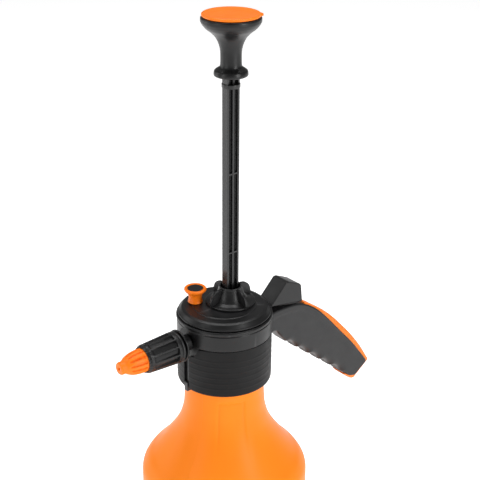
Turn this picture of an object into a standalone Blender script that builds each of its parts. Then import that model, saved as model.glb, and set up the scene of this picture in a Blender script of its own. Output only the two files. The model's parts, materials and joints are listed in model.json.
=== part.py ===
"""Hand-held pump-up pressure sprayer: bottle, screwed head with grip and trigger, air pump and nozzle.

Metres, +Z up. The origin is the centre of the bottle's base. The nozzle points along -X and
the grip along +X. Every sub-part is one object with one material.
"""

import math

import bmesh
import bpy
from mathutils import Matrix, Vector

# --- Driving dimensions -------------------------------------------------------------------
SKIRT_Z = 0.200  # lower edge of the head's skirt above the base
SIDES = 36  # facets round a large turned piece
FINE_SIDES = 24  # facets round a medium turned piece
SMALL_SIDES = 14  # facets round a small turned piece
GAP = 0.0003  # clearance between pieces that touch

# Bottle
BOTTLE_R = 0.0651
BOTTLE_WALL = 0.0016
BASE_WALL = 0.0028
NECK_R = 0.0306
NECK_BORE_R = 0.0284
NECK_TOP_Z = SKIRT_Z + 0.0260

# Head
CORE_R = 0.0343  # skirt core under the grip band
HEAD_R = 0.0359  # outside of the band and of the head above it
LIP_R = 0.0363
SKIRT_BORE_R = 0.0310
CHAMBER_R = 0.0331
FLOOR_LOW_Z = SKIRT_Z + 0.0284
FLOOR_TOP_Z = SKIRT_Z + 0.0316
BAND_TOP_Z = SKIRT_Z + 0.0383
WALL_TOP_Z = SKIRT_Z + 0.0540
COVER_TOP_Z = SKIRT_Z + 0.0600
COVER_EDGE_Z = SKIRT_Z + 0.0589
COVER_UNDER_Z = SKIRT_Z + 0.0573
SLOT_Y = (-0.0021, 0.0037)
WINDOW_HALF_W = 0.0052  # opening in the wall for the trigger's finger and the rocker's arm
WINDOW_Z = (0.2388, 0.2508)

# Air pump
PUMP_X = 0.0057
TOWER_R = 0.0162
TOWER_BORE_R = 0.0142
TOWER_TOP_Z = SKIRT_Z + 0.0586
NUT_SKIRT_R = 0.0139
NUT_SKIRT_BORE_R = 0.0118
NUT_FLANGE_R = 0.0186
NUT_FLANGE_Z = SKIRT_Z + 0.0605
NUT_FLANGE_T = 0.0016
NUT_RING_R = 0.0087
NUT_RING_BORE_R = 0.0074
NUT_TOP_Z = SKIRT_Z + 0.0740
WING_R = 0.0192
WING_T = 0.0021
WING_BULGE = 2.5  # 2 is an ellipse's quarter, and more is squarer
BARREL_R = 0.0114
BARREL_BORE_R = 0.0098
BARREL_LOW_Z = 0.0765
BARREL_TOP_Z = SKIRT_Z + 0.0582
PISTON_R = 0.0095
PISTON_LOW_Z = 0.2400
PISTON_TOP_Z = 0.2540
ROD_HALF_X = 0.0055
ROD_HALF_Y = 0.0031
ROD_FIN_T = 0.0017
ROD_TOP_Z = 0.4470
ROD_WEB_Z = (0.3008, 0.3625)
ROD_WEB_T = 0.0014
ROD_RING_Z = (0.4267, 0.4296)
KNOB_LOW_Z = SKIRT_Z + 0.2349
KNOB_RIM_R = 0.0211
KNOB_BORE_R = 0.0070
CAP_R = 0.0204
CAP_LOW_Z = SKIRT_Z + 0.2765
CAP_TOP_Z = SKIRT_Z + 0.2785

# Relief valve
RELIEF_X = -0.0148
RELIEF_Y = 0.0164
RELIEF_STEM_R = 0.0016
RELIEF_HOLE_R = 0.0020
RELIEF_COLLAR_Z = 0.2465
RELIEF_BASE_Z = SKIRT_Z + 0.0603

# Outlet valve, under the top cover on the nozzle side
VALVE_X = -0.0215
VALVE_R = 0.0056
VALVE_BORE_R = 0.0036
VALVE_SEAT_Z = 0.2336
VALVE_TOP_Z = 0.2436
STEM_R = 0.0014
NIPPLE_R = 0.0020
DIP_R = 0.0032
DIP_BORE_R = 0.0023

# Rocker that carries the trigger's push to the valve
ROCKER_X = PUMP_X
ROCKER_Z = 0.2452
ROCKER_HUB_R = 0.0034
ROCKER_PIN_R = 0.0014
ROCKER_Y = (-0.0229, -0.0180)
ROCKER_EARS_Y = ((-0.0175, -0.0150), (-0.0257, -0.0232))
ROCKER_EAR_HALF_W = 0.0025
ARM_W = 0.0040
FRONT_ARM_Z = (0.2453, 0.2483)
REAR_ARM_Z = (0.2425, 0.2455)

# Nozzle, level and along -X
NOZZLE_Z = SKIRT_Z + 0.0395
SPIGOT_R = 0.0060
SPIGOT_BORE_R = 0.0014
SOCKET_R = 0.0030
BOSS_R = 0.0039
NOZZLE_BOSS_R = 0.0062
NOZZLE_FLANGE_R = 0.0124
NOZZLE_FLANGE_X = 0.0425  # side of the flange towards the head
SLEEVE_REAR_X = 0.0453
SLEEVE_MOUTH_X = 0.0745
SLEEVE_BORE_R = 0.0064
SLEEVE_RIBS = 12
TIP_BORE_R = 0.0063

# Grip and trigger
GRIP_HALF_W = 0.0089
GRIP_WALL = 0.0022
INSERT_HALF_W = 0.0074
TRIGGER_HALF_W = 0.0080
TRIGGER_WALL = 0.0018
TRIGGER_PIN = (0.0670, 0.2455)  # x, z
EAR_X = (0.0637, 0.0697)
EAR_Y = (0.0022, 0.0056)
PIN_R = 0.0016
HOLE_PLAY = 0.00015
TONGUE_HALF_W = 0.0045
TONGUE_Z = (0.2262, 0.2380)
TONGUE_END_X = 0.0610
SPRING_X = 0.0560
SPRING_ROOM = 0.0050  # half the side of the square hole round the trigger's spring
FINGER_X = (0.0295, 0.0470)  # finger of the trigger, under the rocker's rear arm
FINGER_HALF_W = 0.0040
FINGER_Z = (0.2463, 0.2495)
SCREWS = ((0.0500, 0.2320), (0.0880, 0.2080), (0.1260, 0.1700))  # x, z
SCREW_R = 0.0015
SCREW_HEAD_R = 0.0030
SCREW_BOSS_R = 0.0037

# Outer side of the bottle's shoulder, from the body up to the neck: radius, height
SHOULDER = (
    (BOTTLE_R, 0.1150),
    (0.0638, 0.1210),
    (0.0598, 0.1270),
    (0.0507, 0.1370),
    (0.0433, 0.1470),
    (0.0372, 0.1570),
    (0.0329, 0.1680),
    (0.0314, 0.1750),
    (0.0309, 0.1815),
)

# Top edge of the grip's side, from the head out to the free end: x, z
GRIP_TOP = (
    (0.0330, 0.2405),
    (0.0408, 0.2412),
    (0.0493, 0.2420),
    (0.0636, 0.2414),
    (0.0732, 0.2391),
    (0.0830, 0.2336),
    (0.0933, 0.2253),
    (0.1038, 0.2144),
    (0.1146, 0.2024),
    (0.1318, 0.1834),
    (0.1444, 0.1673),
    (0.1503, 0.1594),
)
GRIP_END = ((0.1368, 0.1500), (0.1312, 0.1516))
SCALLOP_FROM = (0.1215, 0.1585)  # last ridge between the finger scallops
SCALLOP_TO = (0.0570, 0.2103)  # first ridge, next to the head
SCALLOPS = 5
SCALLOP_DEPTH = 0.0020
GRIP_ROOT = ((0.0500, 0.2185), (0.0453, 0.2240), (0.0400, 0.2238), (0.0330, 0.2215))

# Ridge of the coloured insert on the grip's back, from the trigger round the free end: x, z
INSERT_RIDGE = (
    (0.0762, 0.2392),
    (0.0807, 0.2370),
    (0.0907, 0.2302),
    (0.1010, 0.2227),
    (0.1116, 0.2134),
    (0.1224, 0.2022),
    (0.1336, 0.1899),
    (0.1454, 0.1745),
    (0.1545, 0.1600),
    (0.1541, 0.1580),
    (0.1372, 0.1452),
    (0.1350, 0.1456),
    (0.1240, 0.1551),
)

# Side of the trigger lever: x, z
TRIGGER_SIDE = (
    (0.0395, 0.2470),
    (0.0555, 0.2633),
    (0.0580, 0.2632),
    (0.0698, 0.2579),
    (0.0712, 0.2562),
    (0.0728, 0.2418),
    (0.0640, 0.2424),
)

# Hollow under the lever's top, and the block inside it that the spring pushes: x, z
TRIGGER_CAVITY = (
    (0.0450, 0.2380),
    (0.0450, 0.2490),
    (0.0563, 0.2610),
    (0.0697, 0.2555),
    (0.0715, 0.2380),
)
SPRING_SEAT = (
    (0.0512, 0.2515),
    (0.0512, 0.2568),
    (0.0563, 0.2618),
    (0.0608, 0.2600),
    (0.0608, 0.2515),
)

BLACK = (0.018, 0.018, 0.020)
ORANGE = (1.0, 0.22, 0.03)
STEEL = (0.62, 0.62, 0.64)
RUBBER = (0.012, 0.012, 0.012)
NATURAL = (0.80, 0.80, 0.76)


# --- Making objects -----------------------------------------------------------------------
def clear_scene():
    for obj in list(bpy.data.objects):
        bpy.data.objects.remove(obj, do_unlink=True)


def make_material(name, colour, roughness, metallic=0.0):
    material = bpy.data.materials.new(name)
    material.use_nodes = True
    shader = material.node_tree.nodes["Principled BSDF"]
    shader.inputs["Base Color"].default_value = (*colour, 1.0)
    shader.inputs["Roughness"].default_value = roughness
    shader.inputs["Metallic"].default_value = metallic
    return material


def make_object(name, bm, finish, origin=(0.0, 0.0, 0.0)):
    """An object from a mesh in world coordinates, with its own origin at the given place."""
    bmesh.ops.recalc_face_normals(bm, faces=bm.faces)
    bm.transform(Matrix.Translation(-Vector(origin)))
    mesh = bpy.data.meshes.new(name)
    bm.to_mesh(mesh)
    bm.free()
    mesh.shade_smooth()
    mesh.set_sharp_from_angle(angle=math.radians(35))
    obj = bpy.data.objects.new(name, mesh)
    obj.location = origin
    colour, roughness, metallic = finish
    mesh.materials.append(make_material(name, colour, roughness, metallic))
    bpy.context.scene.collection.objects.link(obj)
    return obj


def make_cutter(name, bm):
    bmesh.ops.recalc_face_normals(bm, faces=bm.faces)
    mesh = bpy.data.meshes.new(name)
    bm.to_mesh(mesh)
    bm.free()
    cutter = bpy.data.objects.new(name, mesh)
    cutter.hide_render = True
    cutter.display_type = "WIRE"
    bpy.context.scene.collection.objects.link(cutter)
    return cutter


def combine(obj, bm, operation="DIFFERENCE"):
    """Joins the shape in bm, in world coordinates, to the object, or cuts it away."""
    cutter = make_cutter(f"{obj.name}_tool_{len(obj.modifiers)}", bm)
    modifier = obj.modifiers.new(cutter.name, "BOOLEAN")
    modifier.operation = operation
    modifier.solver = "EXACT"
    modifier.object = cutter
    return obj


# --- Shapes -------------------------------------------------------------------------------
def turned(profile, sides, centre=(0.0, 0.0), closed=False):
    """A solid of revolution about a vertical axis. profile holds (radius, height) points.

    An open profile starts and ends on the axis; a closed one goes round a ring's section.
    """
    bm = bmesh.new()
    rings = []
    for radius, height in profile:
        if radius == 0.0:
            rings.append([bm.verts.new((centre[0], centre[1], height))])
            continue
        ring = []
        for side in range(sides):
            angle = 2 * math.pi * side / sides
            x = centre[0] + radius * math.cos(angle)
            y = centre[1] + radius * math.sin(angle)
            ring.append(bm.verts.new((x, y, height)))
        rings.append(ring)
    pairs = list(zip(rings, rings[1:]))
    if closed:
        pairs.append((rings[-1], rings[0]))
    for low, high in pairs:
        for side in range(sides):
            after = (side + 1) % sides
            if len(low) == 1:
                bm.faces.new((low[0], high[after], high[side]))
            elif len(high) == 1:
                bm.faces.new((low[side], low[after], high[0]))
            else:
                bm.faces.new((low[side], low[after], high[after], high[side]))
    return bm


def pillar(radius, low, high, sides, centre=(0.0, 0.0)):
    return turned(((0.0, low), (radius, low), (radius, high), (0.0, high)), sides, centre)


def tube(inner, outer, low, high, sides, centre=(0.0, 0.0)):
    section = ((outer, low), (outer, high), (inner, high), (inner, low))
    return turned(section, sides, centre, closed=True)


def along_x(bm, z):
    """Lays a shape turned about the vertical axis along -X, at height z."""
    bm.transform(Matrix.Translation((0.0, 0.0, z)) @ Matrix.Rotation(-math.pi / 2, 4, "Y"))
    return bm


def along_y(bm, x, z):
    """Lays a shape turned about the vertical axis along Y, through (x, z)."""
    bm.transform(Matrix.Translation((x, 0.0, z)) @ Matrix.Rotation(-math.pi / 2, 4, "X"))
    return bm


def block(low, high):
    bm = bmesh.new()
    bmesh.ops.create_cube(bm, size=1.0)
    size = [high[axis] - low[axis] for axis in range(3)]
    middle = [(high[axis] + low[axis]) / 2 for axis in range(3)]
    bm.transform(Matrix.Translation(middle) @ Matrix.Diagonal((*size, 1.0)))
    return bm


def prism(outline, low, high, plane="XZ"):
    """An outline extruded between two levels: along Y from an XZ outline, up from an XY one."""
    bm = bmesh.new()
    if plane == "XZ":
        corners = [bm.verts.new((x, low, z)) for x, z in outline]
        step = Vector((0.0, high - low, 0.0))
    else:
        corners = [bm.verts.new((x, y, low)) for x, y in outline]
        step = Vector((0.0, 0.0, high - low))
    face = bm.faces.new(corners)
    grown = bmesh.ops.extrude_face_region(bm, geom=[face])
    moved = [item for item in grown["geom"] if isinstance(item, bmesh.types.BMVert)]
    bmesh.ops.translate(bm, verts=moved, vec=step)
    return bm


def offset_line(points, distance):
    """The open line moved sideways, to the left of its direction, with mitred corners."""
    moved = []
    for index, point in enumerate(points):
        here = Vector(point)
        back = Vector(points[max(index - 1, 0)])
        ahead = Vector(points[min(index + 1, len(points) - 1)])
        before = (here - back).normalized() if index else (ahead - here).normalized()
        after = (ahead - here).normalized() if index < len(points) - 1 else before
        normal = Vector((-(before.y + after.y), before.x + after.x)).normalized()
        reach = normal.dot(Vector((-before.y, before.x)))
        moved.append(tuple(here + normal * (distance / reach)))
    return moved


def strip_outline(points, width):
    """The outline of a strip of one width along a line."""
    return offset_line(points, width / 2) + offset_line(points, -width / 2)[::-1]


def coil(wire_r, coil_r, low, high, turns, centre):
    """A compression spring with closed ends: a round wire on a helix about a vertical axis."""
    around, steps = 5, 10
    count = int(turns * steps)
    bm = bmesh.new()
    rings = []
    travel = high - low - 2 * wire_r
    for step in range(count + 1):
        along = step / count
        eased = along * along * (3 - 2 * along)
        angle = 2 * math.pi * turns * along
        outward = Vector((math.cos(angle), math.sin(angle), 0.0))
        middle = Vector((*centre, low + wire_r + travel * eased)) + outward * coil_r
        ring = []
        for corner in range(around):
            turn = 2 * math.pi * corner / around
            lift = Vector((0.0, 0.0, wire_r * math.sin(turn)))
            ring.append(bm.verts.new(middle + outward * (wire_r * math.cos(turn)) + lift))
        rings.append(ring)
    for ring, following in zip(rings, rings[1:]):
        for corner in range(around):
            after = (corner + 1) % around
            corners = (ring[corner], ring[after], following[after], following[corner])
            bm.faces.new(corners)
    bm.faces.new(rings[0][::-1])
    bm.faces.new(rings[-1])
    return bm


# --- Bottle -------------------------------------------------------------------------------
def make_bottle():
    foot = (
        (0.0, 0.0),
        (0.0200, 0.0),
        (0.0225, 0.0012),
        (0.0490, 0.0012),
        (0.0515, 0.0),
        (0.0575, 0.0),
        (0.0612, 0.0010),
        (0.0637, 0.0035),
        (BOTTLE_R - 0.0002, 0.0090),
    )
    outside = SHOULDER + ((NECK_R, SKIRT_Z - 0.0120), (NECK_R, NECK_TOP_Z))
    shoulder = offset_line(SHOULDER, BOTTLE_WALL)
    inside = [(NECK_BORE_R, NECK_TOP_Z), (NECK_BORE_R, SKIRT_Z - 0.0200)]
    inside += [point for point in reversed(shoulder) if point[0] > NECK_BORE_R + 0.0012]
    inside += [(BOTTLE_R - BOTTLE_WALL, 0.0110), (0.0620, 0.0052), (0.0580, BASE_WALL)]
    inside += [(0.0, BASE_WALL)]
    bm = turned(foot + outside + tuple(inside), SIDES)
    return make_object("bottle", bm, (ORANGE, 0.35, 0.0))


def make_neck_gasket():
    bm = tube(0.0287, 0.0306, NECK_TOP_Z + GAP, FLOOR_LOW_Z - GAP, SIDES)
    return make_object("neck_gasket", bm, (RUBBER, 0.8, 0.0))


# --- Head ---------------------------------------------------------------------------------
def make_head_body():
    profile = (
        (0.0, FLOOR_LOW_Z),
        (SKIRT_BORE_R, FLOOR_LOW_Z),
        (SKIRT_BORE_R, SKIRT_Z),
        (CORE_R, SKIRT_Z),
        (CORE_R, BAND_TOP_Z + GAP),
        (HEAD_R, BAND_TOP_Z + GAP),
        (HEAD_R, SKIRT_Z + 0.0512),
        (LIP_R, SKIRT_Z + 0.0516),
        (LIP_R, SKIRT_Z + 0.0534),
        (HEAD_R, WALL_TOP_Z),
        (CHAMBER_R, WALL_TOP_Z),
        (CHAMBER_R, FLOOR_TOP_Z),
        (0.0, FLOOR_TOP_Z),
    )
    head = make_object("head_body", turned(profile, SIDES), (BLACK, 0.45, 0.0))
    pump_axis = (PUMP_X, 0.0)
    tower = pillar(TOWER_R, FLOOR_LOW_Z + GAP, TOWER_TOP_Z, FINE_SIDES, pump_axis)
    combine(head, tower, "UNION")
    ear_low, ear_high = FLOOR_TOP_Z - GAP, ROCKER_Z + ROCKER_HUB_R
    for near, far in ROCKER_EARS_Y:
        low = (ROCKER_X - ROCKER_EAR_HALF_W, min(near, far), ear_low)
        high = (ROCKER_X + ROCKER_EAR_HALF_W, max(near, far), ear_high)
        combine(head, block(low, high), "UNION")
    tongue = block(
        (CORE_R - 0.0008, -TONGUE_HALF_W, TONGUE_Z[0]), (TONGUE_END_X, TONGUE_HALF_W, TONGUE_Z[1])
    )
    combine(head, tongue, "UNION")
    tab = block((-0.0362, -0.0004, SKIRT_Z - 0.0024), (-0.0325, 0.0034, SKIRT_Z + 0.0060))
    combine(head, tab, "UNION")
    through = (SKIRT_Z + 0.01, SKIRT_Z + 0.04)
    pin_hole = pillar(ROCKER_PIN_R + HOLE_PLAY, -0.0300, -0.0160, SMALL_SIDES)
    cuts = (
        pillar(TOWER_BORE_R, SKIRT_Z, SKIRT_Z + 0.1, FINE_SIDES, pump_axis),
        pillar(DIP_R + 0.0004, *through, SMALL_SIDES, (VALVE_X, 0.0)),
        pillar(RELIEF_HOLE_R, *through, SMALL_SIDES, (RELIEF_X, RELIEF_Y)),
        block((0.0300, -WINDOW_HALF_W, WINDOW_Z[0]), (0.0400, WINDOW_HALF_W, WINDOW_Z[1])),
        along_x(pillar(0.0068, 0.0300, 0.0400, FINE_SIDES), NOZZLE_Z),
        along_x(pillar(0.0108, 0.0347, 0.0400, FINE_SIDES), NOZZLE_Z),
        along_y(pin_hole, ROCKER_X, ROCKER_Z),
        along_y(pillar(SCREW_R + HOLE_PLAY, -0.0100, 0.0100, SMALL_SIDES), *SCREWS[0]),
    )
    for cut in cuts:
        combine(head, cut)
    return head


def make_top_cover():
    profile = (
        (0.0, COVER_UNDER_Z),
        (0.0310, COVER_UNDER_Z),
        (0.0310, SKIRT_Z + 0.0525),
        (0.0327, SKIRT_Z + 0.0525),
        (0.0327, WALL_TOP_Z + GAP),
        (0.0350, WALL_TOP_Z + GAP),
        (0.0348, SKIRT_Z + 0.0556),
        (0.0340, SKIRT_Z + 0.0575),
        (0.0322, COVER_EDGE_Z),
        (0.0242, SKIRT_Z + 0.0594),
        (0.0236, COVER_TOP_Z),
        (0.0, COVER_TOP_Z),
    )
    cover = make_object("head_top_cover", turned(profile, SIDES), (BLACK, 0.40, 0.0))
    hole_z = (SKIRT_Z + 0.04, SKIRT_Z + 0.08)
    combine(cover, pillar(0.0172, *hole_z, FINE_SIDES, (PUMP_X, 0.0)))
    combine(cover, pillar(RELIEF_HOLE_R, *hole_z, SMALL_SIDES, (RELIEF_X, RELIEF_Y)))
    return cover


def make_grip_band():
    low, high = SKIRT_Z + GAP, BAND_TOP_Z
    bm = tube(CORE_R + GAP, HEAD_R, low, high, SIDES)
    band = make_object("grip_band", bm, (BLACK, 0.75, 0.0))
    combine(band, block((-0.04, SLOT_Y[0], low - 0.01), (-0.03, SLOT_Y[1], high + 0.01)))
    combine(band, along_x(pillar(0.0112, 0.0300, 0.0400, FINE_SIDES), NOZZLE_Z))
    reach = TONGUE_HALF_W + GAP
    tongue = block((0.03, -reach, TONGUE_Z[0] - GAP), (0.04, reach, high + 0.01))
    combine(band, tongue)
    return band


# --- Grip ---------------------------------------------------------------------------------
def scalloped_edge():
    """The grip's underside: shallow round hollows for the fingers between low ridges."""
    start, end = Vector(SCALLOP_FROM), Vector(SCALLOP_TO)
    inward = Vector((end.y - start.y, start.x - end.x)).normalized()
    steps = 4
    points = []
    for step in range(SCALLOPS * steps + 1):
        along = step / (SCALLOPS * steps)
        depth = SCALLOP_DEPTH * abs(math.sin(math.pi * SCALLOPS * along)) ** 0.8
        points.append(tuple(start.lerp(end, along) + inward * depth))
    return points


def grip_outline():
    return list(GRIP_TOP) + list(GRIP_END) + scalloped_edge() + list(GRIP_ROOT)


def grip_pocket():
    """The hollow inside a grip shell: its own outline, one wall inside the outer one."""
    top = offset_line(GRIP_TOP[1:-1], -GRIP_WALL)
    low_line = [SCALLOP_FROM, SCALLOP_TO, GRIP_ROOT[0], GRIP_ROOT[1], GRIP_ROOT[2]]
    low = offset_line(low_line, -(GRIP_WALL + SCALLOP_DEPTH))
    return top + low


def make_grip_shell(name, side):
    """One half of the grip. side is 1 for the half towards +Y and -1 for the other."""

    def span(inner, outer):
        return sorted((side * inner, side * outer))

    bm = prism(grip_outline(), *span(GAP / 2, GRIP_HALF_W))
    face_y = side * GRIP_HALF_W
    rim = [edge for edge in bm.edges if all(abs(v.co.y - face_y) < GAP for v in edge.verts)]
    bmesh.ops.bevel(bm, geom=rim, offset=0.0016, segments=2, affect="EDGES", profile=0.5)
    shell = make_object(name, bm, (BLACK, 0.42, 0.0))
    combine(shell, prism(grip_pocket(), *span(-0.001, GRIP_HALF_W - GRIP_WALL)))
    for place in SCREWS[1:]:
        boss = pillar(SCREW_BOSS_R, *span(GAP / 2, GRIP_HALF_W - 0.001), SMALL_SIDES)
        combine(shell, along_y(boss, *place), "UNION")
    low = (EAR_X[0], min(span(*EAR_Y)), TONGUE_Z[1] - 0.0010)
    high = (EAR_X[1], max(span(*EAR_Y)), TRIGGER_PIN[1] + 0.0030)
    combine(shell, block(low, high), "UNION")
    combine(shell, pillar(LIP_R + GAP, 0.15, 0.30, SIDES))
    inner, outer = span(-0.001, TONGUE_HALF_W + GAP)
    low = (0.03, inner, TONGUE_Z[0] - GAP)
    combine(shell, block(low, (TONGUE_END_X + GAP, outer, TONGUE_Z[1] + GAP)))
    inner, outer = span(-0.001, SPRING_ROOM)
    low = (SPRING_X - SPRING_ROOM, inner, TONGUE_Z[1] - 0.0005)
    combine(shell, block(low, (SPRING_X + SPRING_ROOM, outer, TONGUE_Z[1] + 0.0100)))
    hole = pillar(PIN_R + HOLE_PLAY, -0.02, 0.02, SMALL_SIDES)
    combine(shell, along_y(hole, *TRIGGER_PIN))
    for place in SCREWS:
        hole = pillar(SCREW_R + HOLE_PLAY, *span(-0.001, 0.0072), SMALL_SIDES)
        combine(shell, along_y(hole, *place))
        if side > 0:
            bore = pillar(SCREW_HEAD_R + HOLE_PLAY, 0.0062, 0.0200, SMALL_SIDES)
            combine(shell, along_y(bore, *place))
    return shell


def make_back_insert():
    inner = [point for point in GRIP_TOP if point[0] > 0.0700] + list(GRIP_END)
    inner.append(tuple(Vector(GRIP_END[-1]).lerp(Vector(SCALLOP_FROM), 0.80)))
    outline = list(INSERT_RIDGE) + offset_line(inner, GAP)[::-1]
    bm = prism(outline, -INSERT_HALF_W, INSERT_HALF_W)
    ridge = {(round(x, 5), round(z, 5)) for x, z in INSERT_RIDGE}
    rim = []
    for edge in bm.edges:
        a, b = (vertex.co for vertex in edge.verts)
        level = abs(a.y - b.y) < GAP
        on_ridge = all((round(p.x, 5), round(p.z, 5)) in ridge for p in (a, b))
        if level and on_ridge:
            rim.append(edge)
    bmesh.ops.bevel(bm, geom=rim, offset=0.0011, segments=1, affect="EDGES", profile=0.5)
    return make_object("grip_back_insert", bm, (ORANGE, 0.40, 0.0))


def make_grip_screw(name, place):
    profile = (
        (0.0, -0.0062),
        (SCREW_R, -0.0062),
        (SCREW_R, 0.0065),
        (SCREW_HEAD_R, 0.0065),
        (SCREW_HEAD_R, 0.0080),
        (0.0024, 0.0086),
        (0.0, 0.0086),
    )
    screw = make_object(name, along_y(turned(profile, SMALL_SIDES), *place), (STEEL, 0.30, 1.0))
    x, z = place
    combine(screw, block((x - 0.0018, 0.0076, z - 0.0003), (x + 0.0018, 0.0100, z + 0.0003)))
    combine(screw, block((x - 0.0003, 0.0076, z - 0.0018), (x + 0.0003, 0.0100, z + 0.0018)))
    return screw


# --- Trigger and rocker -------------------------------------------------------------------
def make_trigger_lever():
    origin = (TRIGGER_PIN[0], 0.0, TRIGGER_PIN[1])
    bm = prism(TRIGGER_SIDE, -TRIGGER_HALF_W, TRIGGER_HALF_W)
    rim = [e for e in bm.edges if all(v.co.z > 0.2560 for v in e.verts)]
    bmesh.ops.bevel(bm, geom=rim, offset=0.0009, segments=2, affect="EDGES", profile=0.5)
    lever = make_object("trigger_lever", bm, (BLACK, 0.40, 0.0), origin)
    half = TRIGGER_HALF_W - TRIGGER_WALL
    pin_hole = along_y(pillar(PIN_R + HOLE_PLAY, -0.02, 0.02, SMALL_SIDES), *TRIGGER_PIN)
    finger_low = (FINGER_X[0], -FINGER_HALF_W, FINGER_Z[0])
    finger_high = (FINGER_X[1], FINGER_HALF_W, FINGER_Z[1])
    tools = (
        (prism(TRIGGER_CAVITY, -half, half), "DIFFERENCE"),
        (block(finger_low, finger_high), "UNION"),
        (pin_hole, "DIFFERENCE"),
        (prism(SPRING_SEAT, -half - 0.0006, half + 0.0006), "UNION"),
    )
    for tool, operation in tools:
        combine(lever, tool, operation)
    return lever


def make_trigger_pin():
    bm = along_y(pillar(PIN_R, -0.0078, 0.0078, SMALL_SIDES), *TRIGGER_PIN)
    return make_object("trigger_pin", bm, (STEEL, 0.30, 1.0))


def make_trigger_spring():
    bm = coil(0.00035, 0.0031, TONGUE_Z[1] + GAP, 0.2512, 6, (SPRING_X, 0.0))
    return make_object("trigger_spring", bm, (STEEL, 0.30, 1.0))


def make_rocker():
    origin = (ROCKER_X, 0.0, ROCKER_Z)
    middle_y = sum(ROCKER_Y) / 2
    hub = along_y(pillar(ROCKER_HUB_R, *ROCKER_Y, SMALL_SIDES), ROCKER_X, ROCKER_Z)
    rocker = make_object("valve_rocker", hub, (BLACK, 0.5, 0.0), origin)
    eye = (VALVE_X, 0.0)
    rear = ((0.0325, 0.0), (0.0285, -0.0090), (0.0200, -0.0175), (ROCKER_X - 0.0012, middle_y))
    hub_end = (ROCKER_X + 0.0009, middle_y + 0.0001)
    front = (hub_end, (-0.0090, -0.0180), (-0.0170, -0.0090), eye)
    eye_z = (FRONT_ARM_Z[0] - 0.0002, FRONT_ARM_Z[1] + 0.0002)
    pin_hole = pillar(ROCKER_PIN_R + HOLE_PLAY, -0.03, -0.01, SMALL_SIDES)
    pin_hole = along_y(pin_hole, ROCKER_X, ROCKER_Z)
    tools = (
        (prism(strip_outline(rear, ARM_W), *REAR_ARM_Z, "XY"), "UNION"),
        (prism(strip_outline(front, ARM_W), *FRONT_ARM_Z, "XY"), "UNION"),
        (pin_hole, "DIFFERENCE"),
        (pillar(0.0045, *eye_z, SMALL_SIDES, eye), "UNION"),
        (pillar(0.0024, 0.24, 0.26, SMALL_SIDES, eye), "DIFFERENCE"),
    )
    for tool, operation in tools:
        combine(rocker, tool, operation)
    return rocker


def make_rocker_pin():
    bm = along_y(pillar(ROCKER_PIN_R, -0.0262, -0.0170, SMALL_SIDES), ROCKER_X, ROCKER_Z)
    return make_object("rocker_pin", bm, (STEEL, 0.30, 1.0))


# --- Outlet valve -------------------------------------------------------------------------
def make_valve_body():
    place = (VALVE_X, 0.0)
    profile = (
        (NIPPLE_R, 0.2220),
        (NIPPLE_R, FLOOR_TOP_Z + GAP),
        (VALVE_R, FLOOR_TOP_Z + GAP),
        (VALVE_R, VALVE_TOP_Z),
        (VALVE_BORE_R, VALVE_TOP_Z),
        (VALVE_BORE_R, VALVE_SEAT_Z),
        (0.0013, VALVE_SEAT_Z),
        (0.0013, 0.2220),
    )
    body = make_object("valve_body", turned(profile, FINE_SIDES, place, True), (NATURAL, 0.4, 0.0))
    combine(body, along_x(pillar(BOSS_R, 0.0263, 0.0300, FINE_SIDES), NOZZLE_Z), "UNION")
    combine(body, along_x(pillar(SOCKET_R, 0.0266, 0.0320, SMALL_SIDES), NOZZLE_Z))
    combine(body, along_x(pillar(SPIGOT_BORE_R, 0.0222, 0.0321, SMALL_SIDES - 2), NOZZLE_Z))
    return body


def make_valve_cap():
    section = (
        (0.0018, VALVE_TOP_Z - 0.0006),
        (0.0033, VALVE_TOP_Z - 0.0006),
        (0.0033, VALVE_TOP_Z + GAP),
        (0.0054, VALVE_TOP_Z + GAP),
        (0.0054, VALVE_TOP_Z + 0.0011),
        (0.0018, VALVE_TOP_Z + 0.0011),
    )
    bm = turned(section, FINE_SIDES, (VALVE_X, 0.0), closed=True)
    return make_object("valve_cap", bm, (NATURAL, 0.4, 0.0))


def make_valve_stem():
    profile = (
        (0.0, 0.2354),
        (0.0030, 0.2354),
        (0.0030, 0.2362),
        (STEM_R, 0.2362),
        (STEM_R, 0.2491),
        (0.0032, 0.2491),
        (0.0032, 0.2508),
        (0.0, 0.2512),
    )
    bm = turned(profile, SMALL_SIDES, (VALVE_X, 0.0))
    return make_object("valve_stem", bm, (STEEL, 0.3, 1.0), (VALVE_X, 0.0, 0.2354))


def make_valve_seal():
    bm = pillar(0.0030, VALVE_SEAT_Z + GAP, 0.2351, SMALL_SIDES, (VALVE_X, 0.0))
    return make_object("valve_seal", bm, (RUBBER, 0.8, 0.0), (VALVE_X, 0.0, VALVE_SEAT_Z))


def make_valve_spring():
    bm = coil(0.00025, 0.0024, 0.2365, VALVE_TOP_Z - 0.0009, 5, (VALVE_X, 0.0))
    return make_object("valve_spring", bm, (STEEL, 0.3, 1.0))


def make_dip_tube():
    bm = tube(DIP_BORE_R, DIP_R, 0.0085, FLOOR_TOP_Z - 0.0003, SMALL_SIDES, (VALVE_X, 0.0))
    return make_object("dip_tube", bm, (NATURAL, 0.45, 0.0))


def make_strainer():
    profile = (
        (0.0052, 0.0045),
        (0.0052, 0.0190),
        (DIP_R + GAP, 0.0190),
        (DIP_R + GAP, 0.0080),
        (0.0026, 0.0080),
        (0.0026, 0.0062),
        (0.0016, 0.0045),
    )
    bm = turned(profile, FINE_SIDES, (VALVE_X, 0.0), closed=True)
    return make_object("strainer", bm, (BLACK, 0.5, 0.0))


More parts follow.
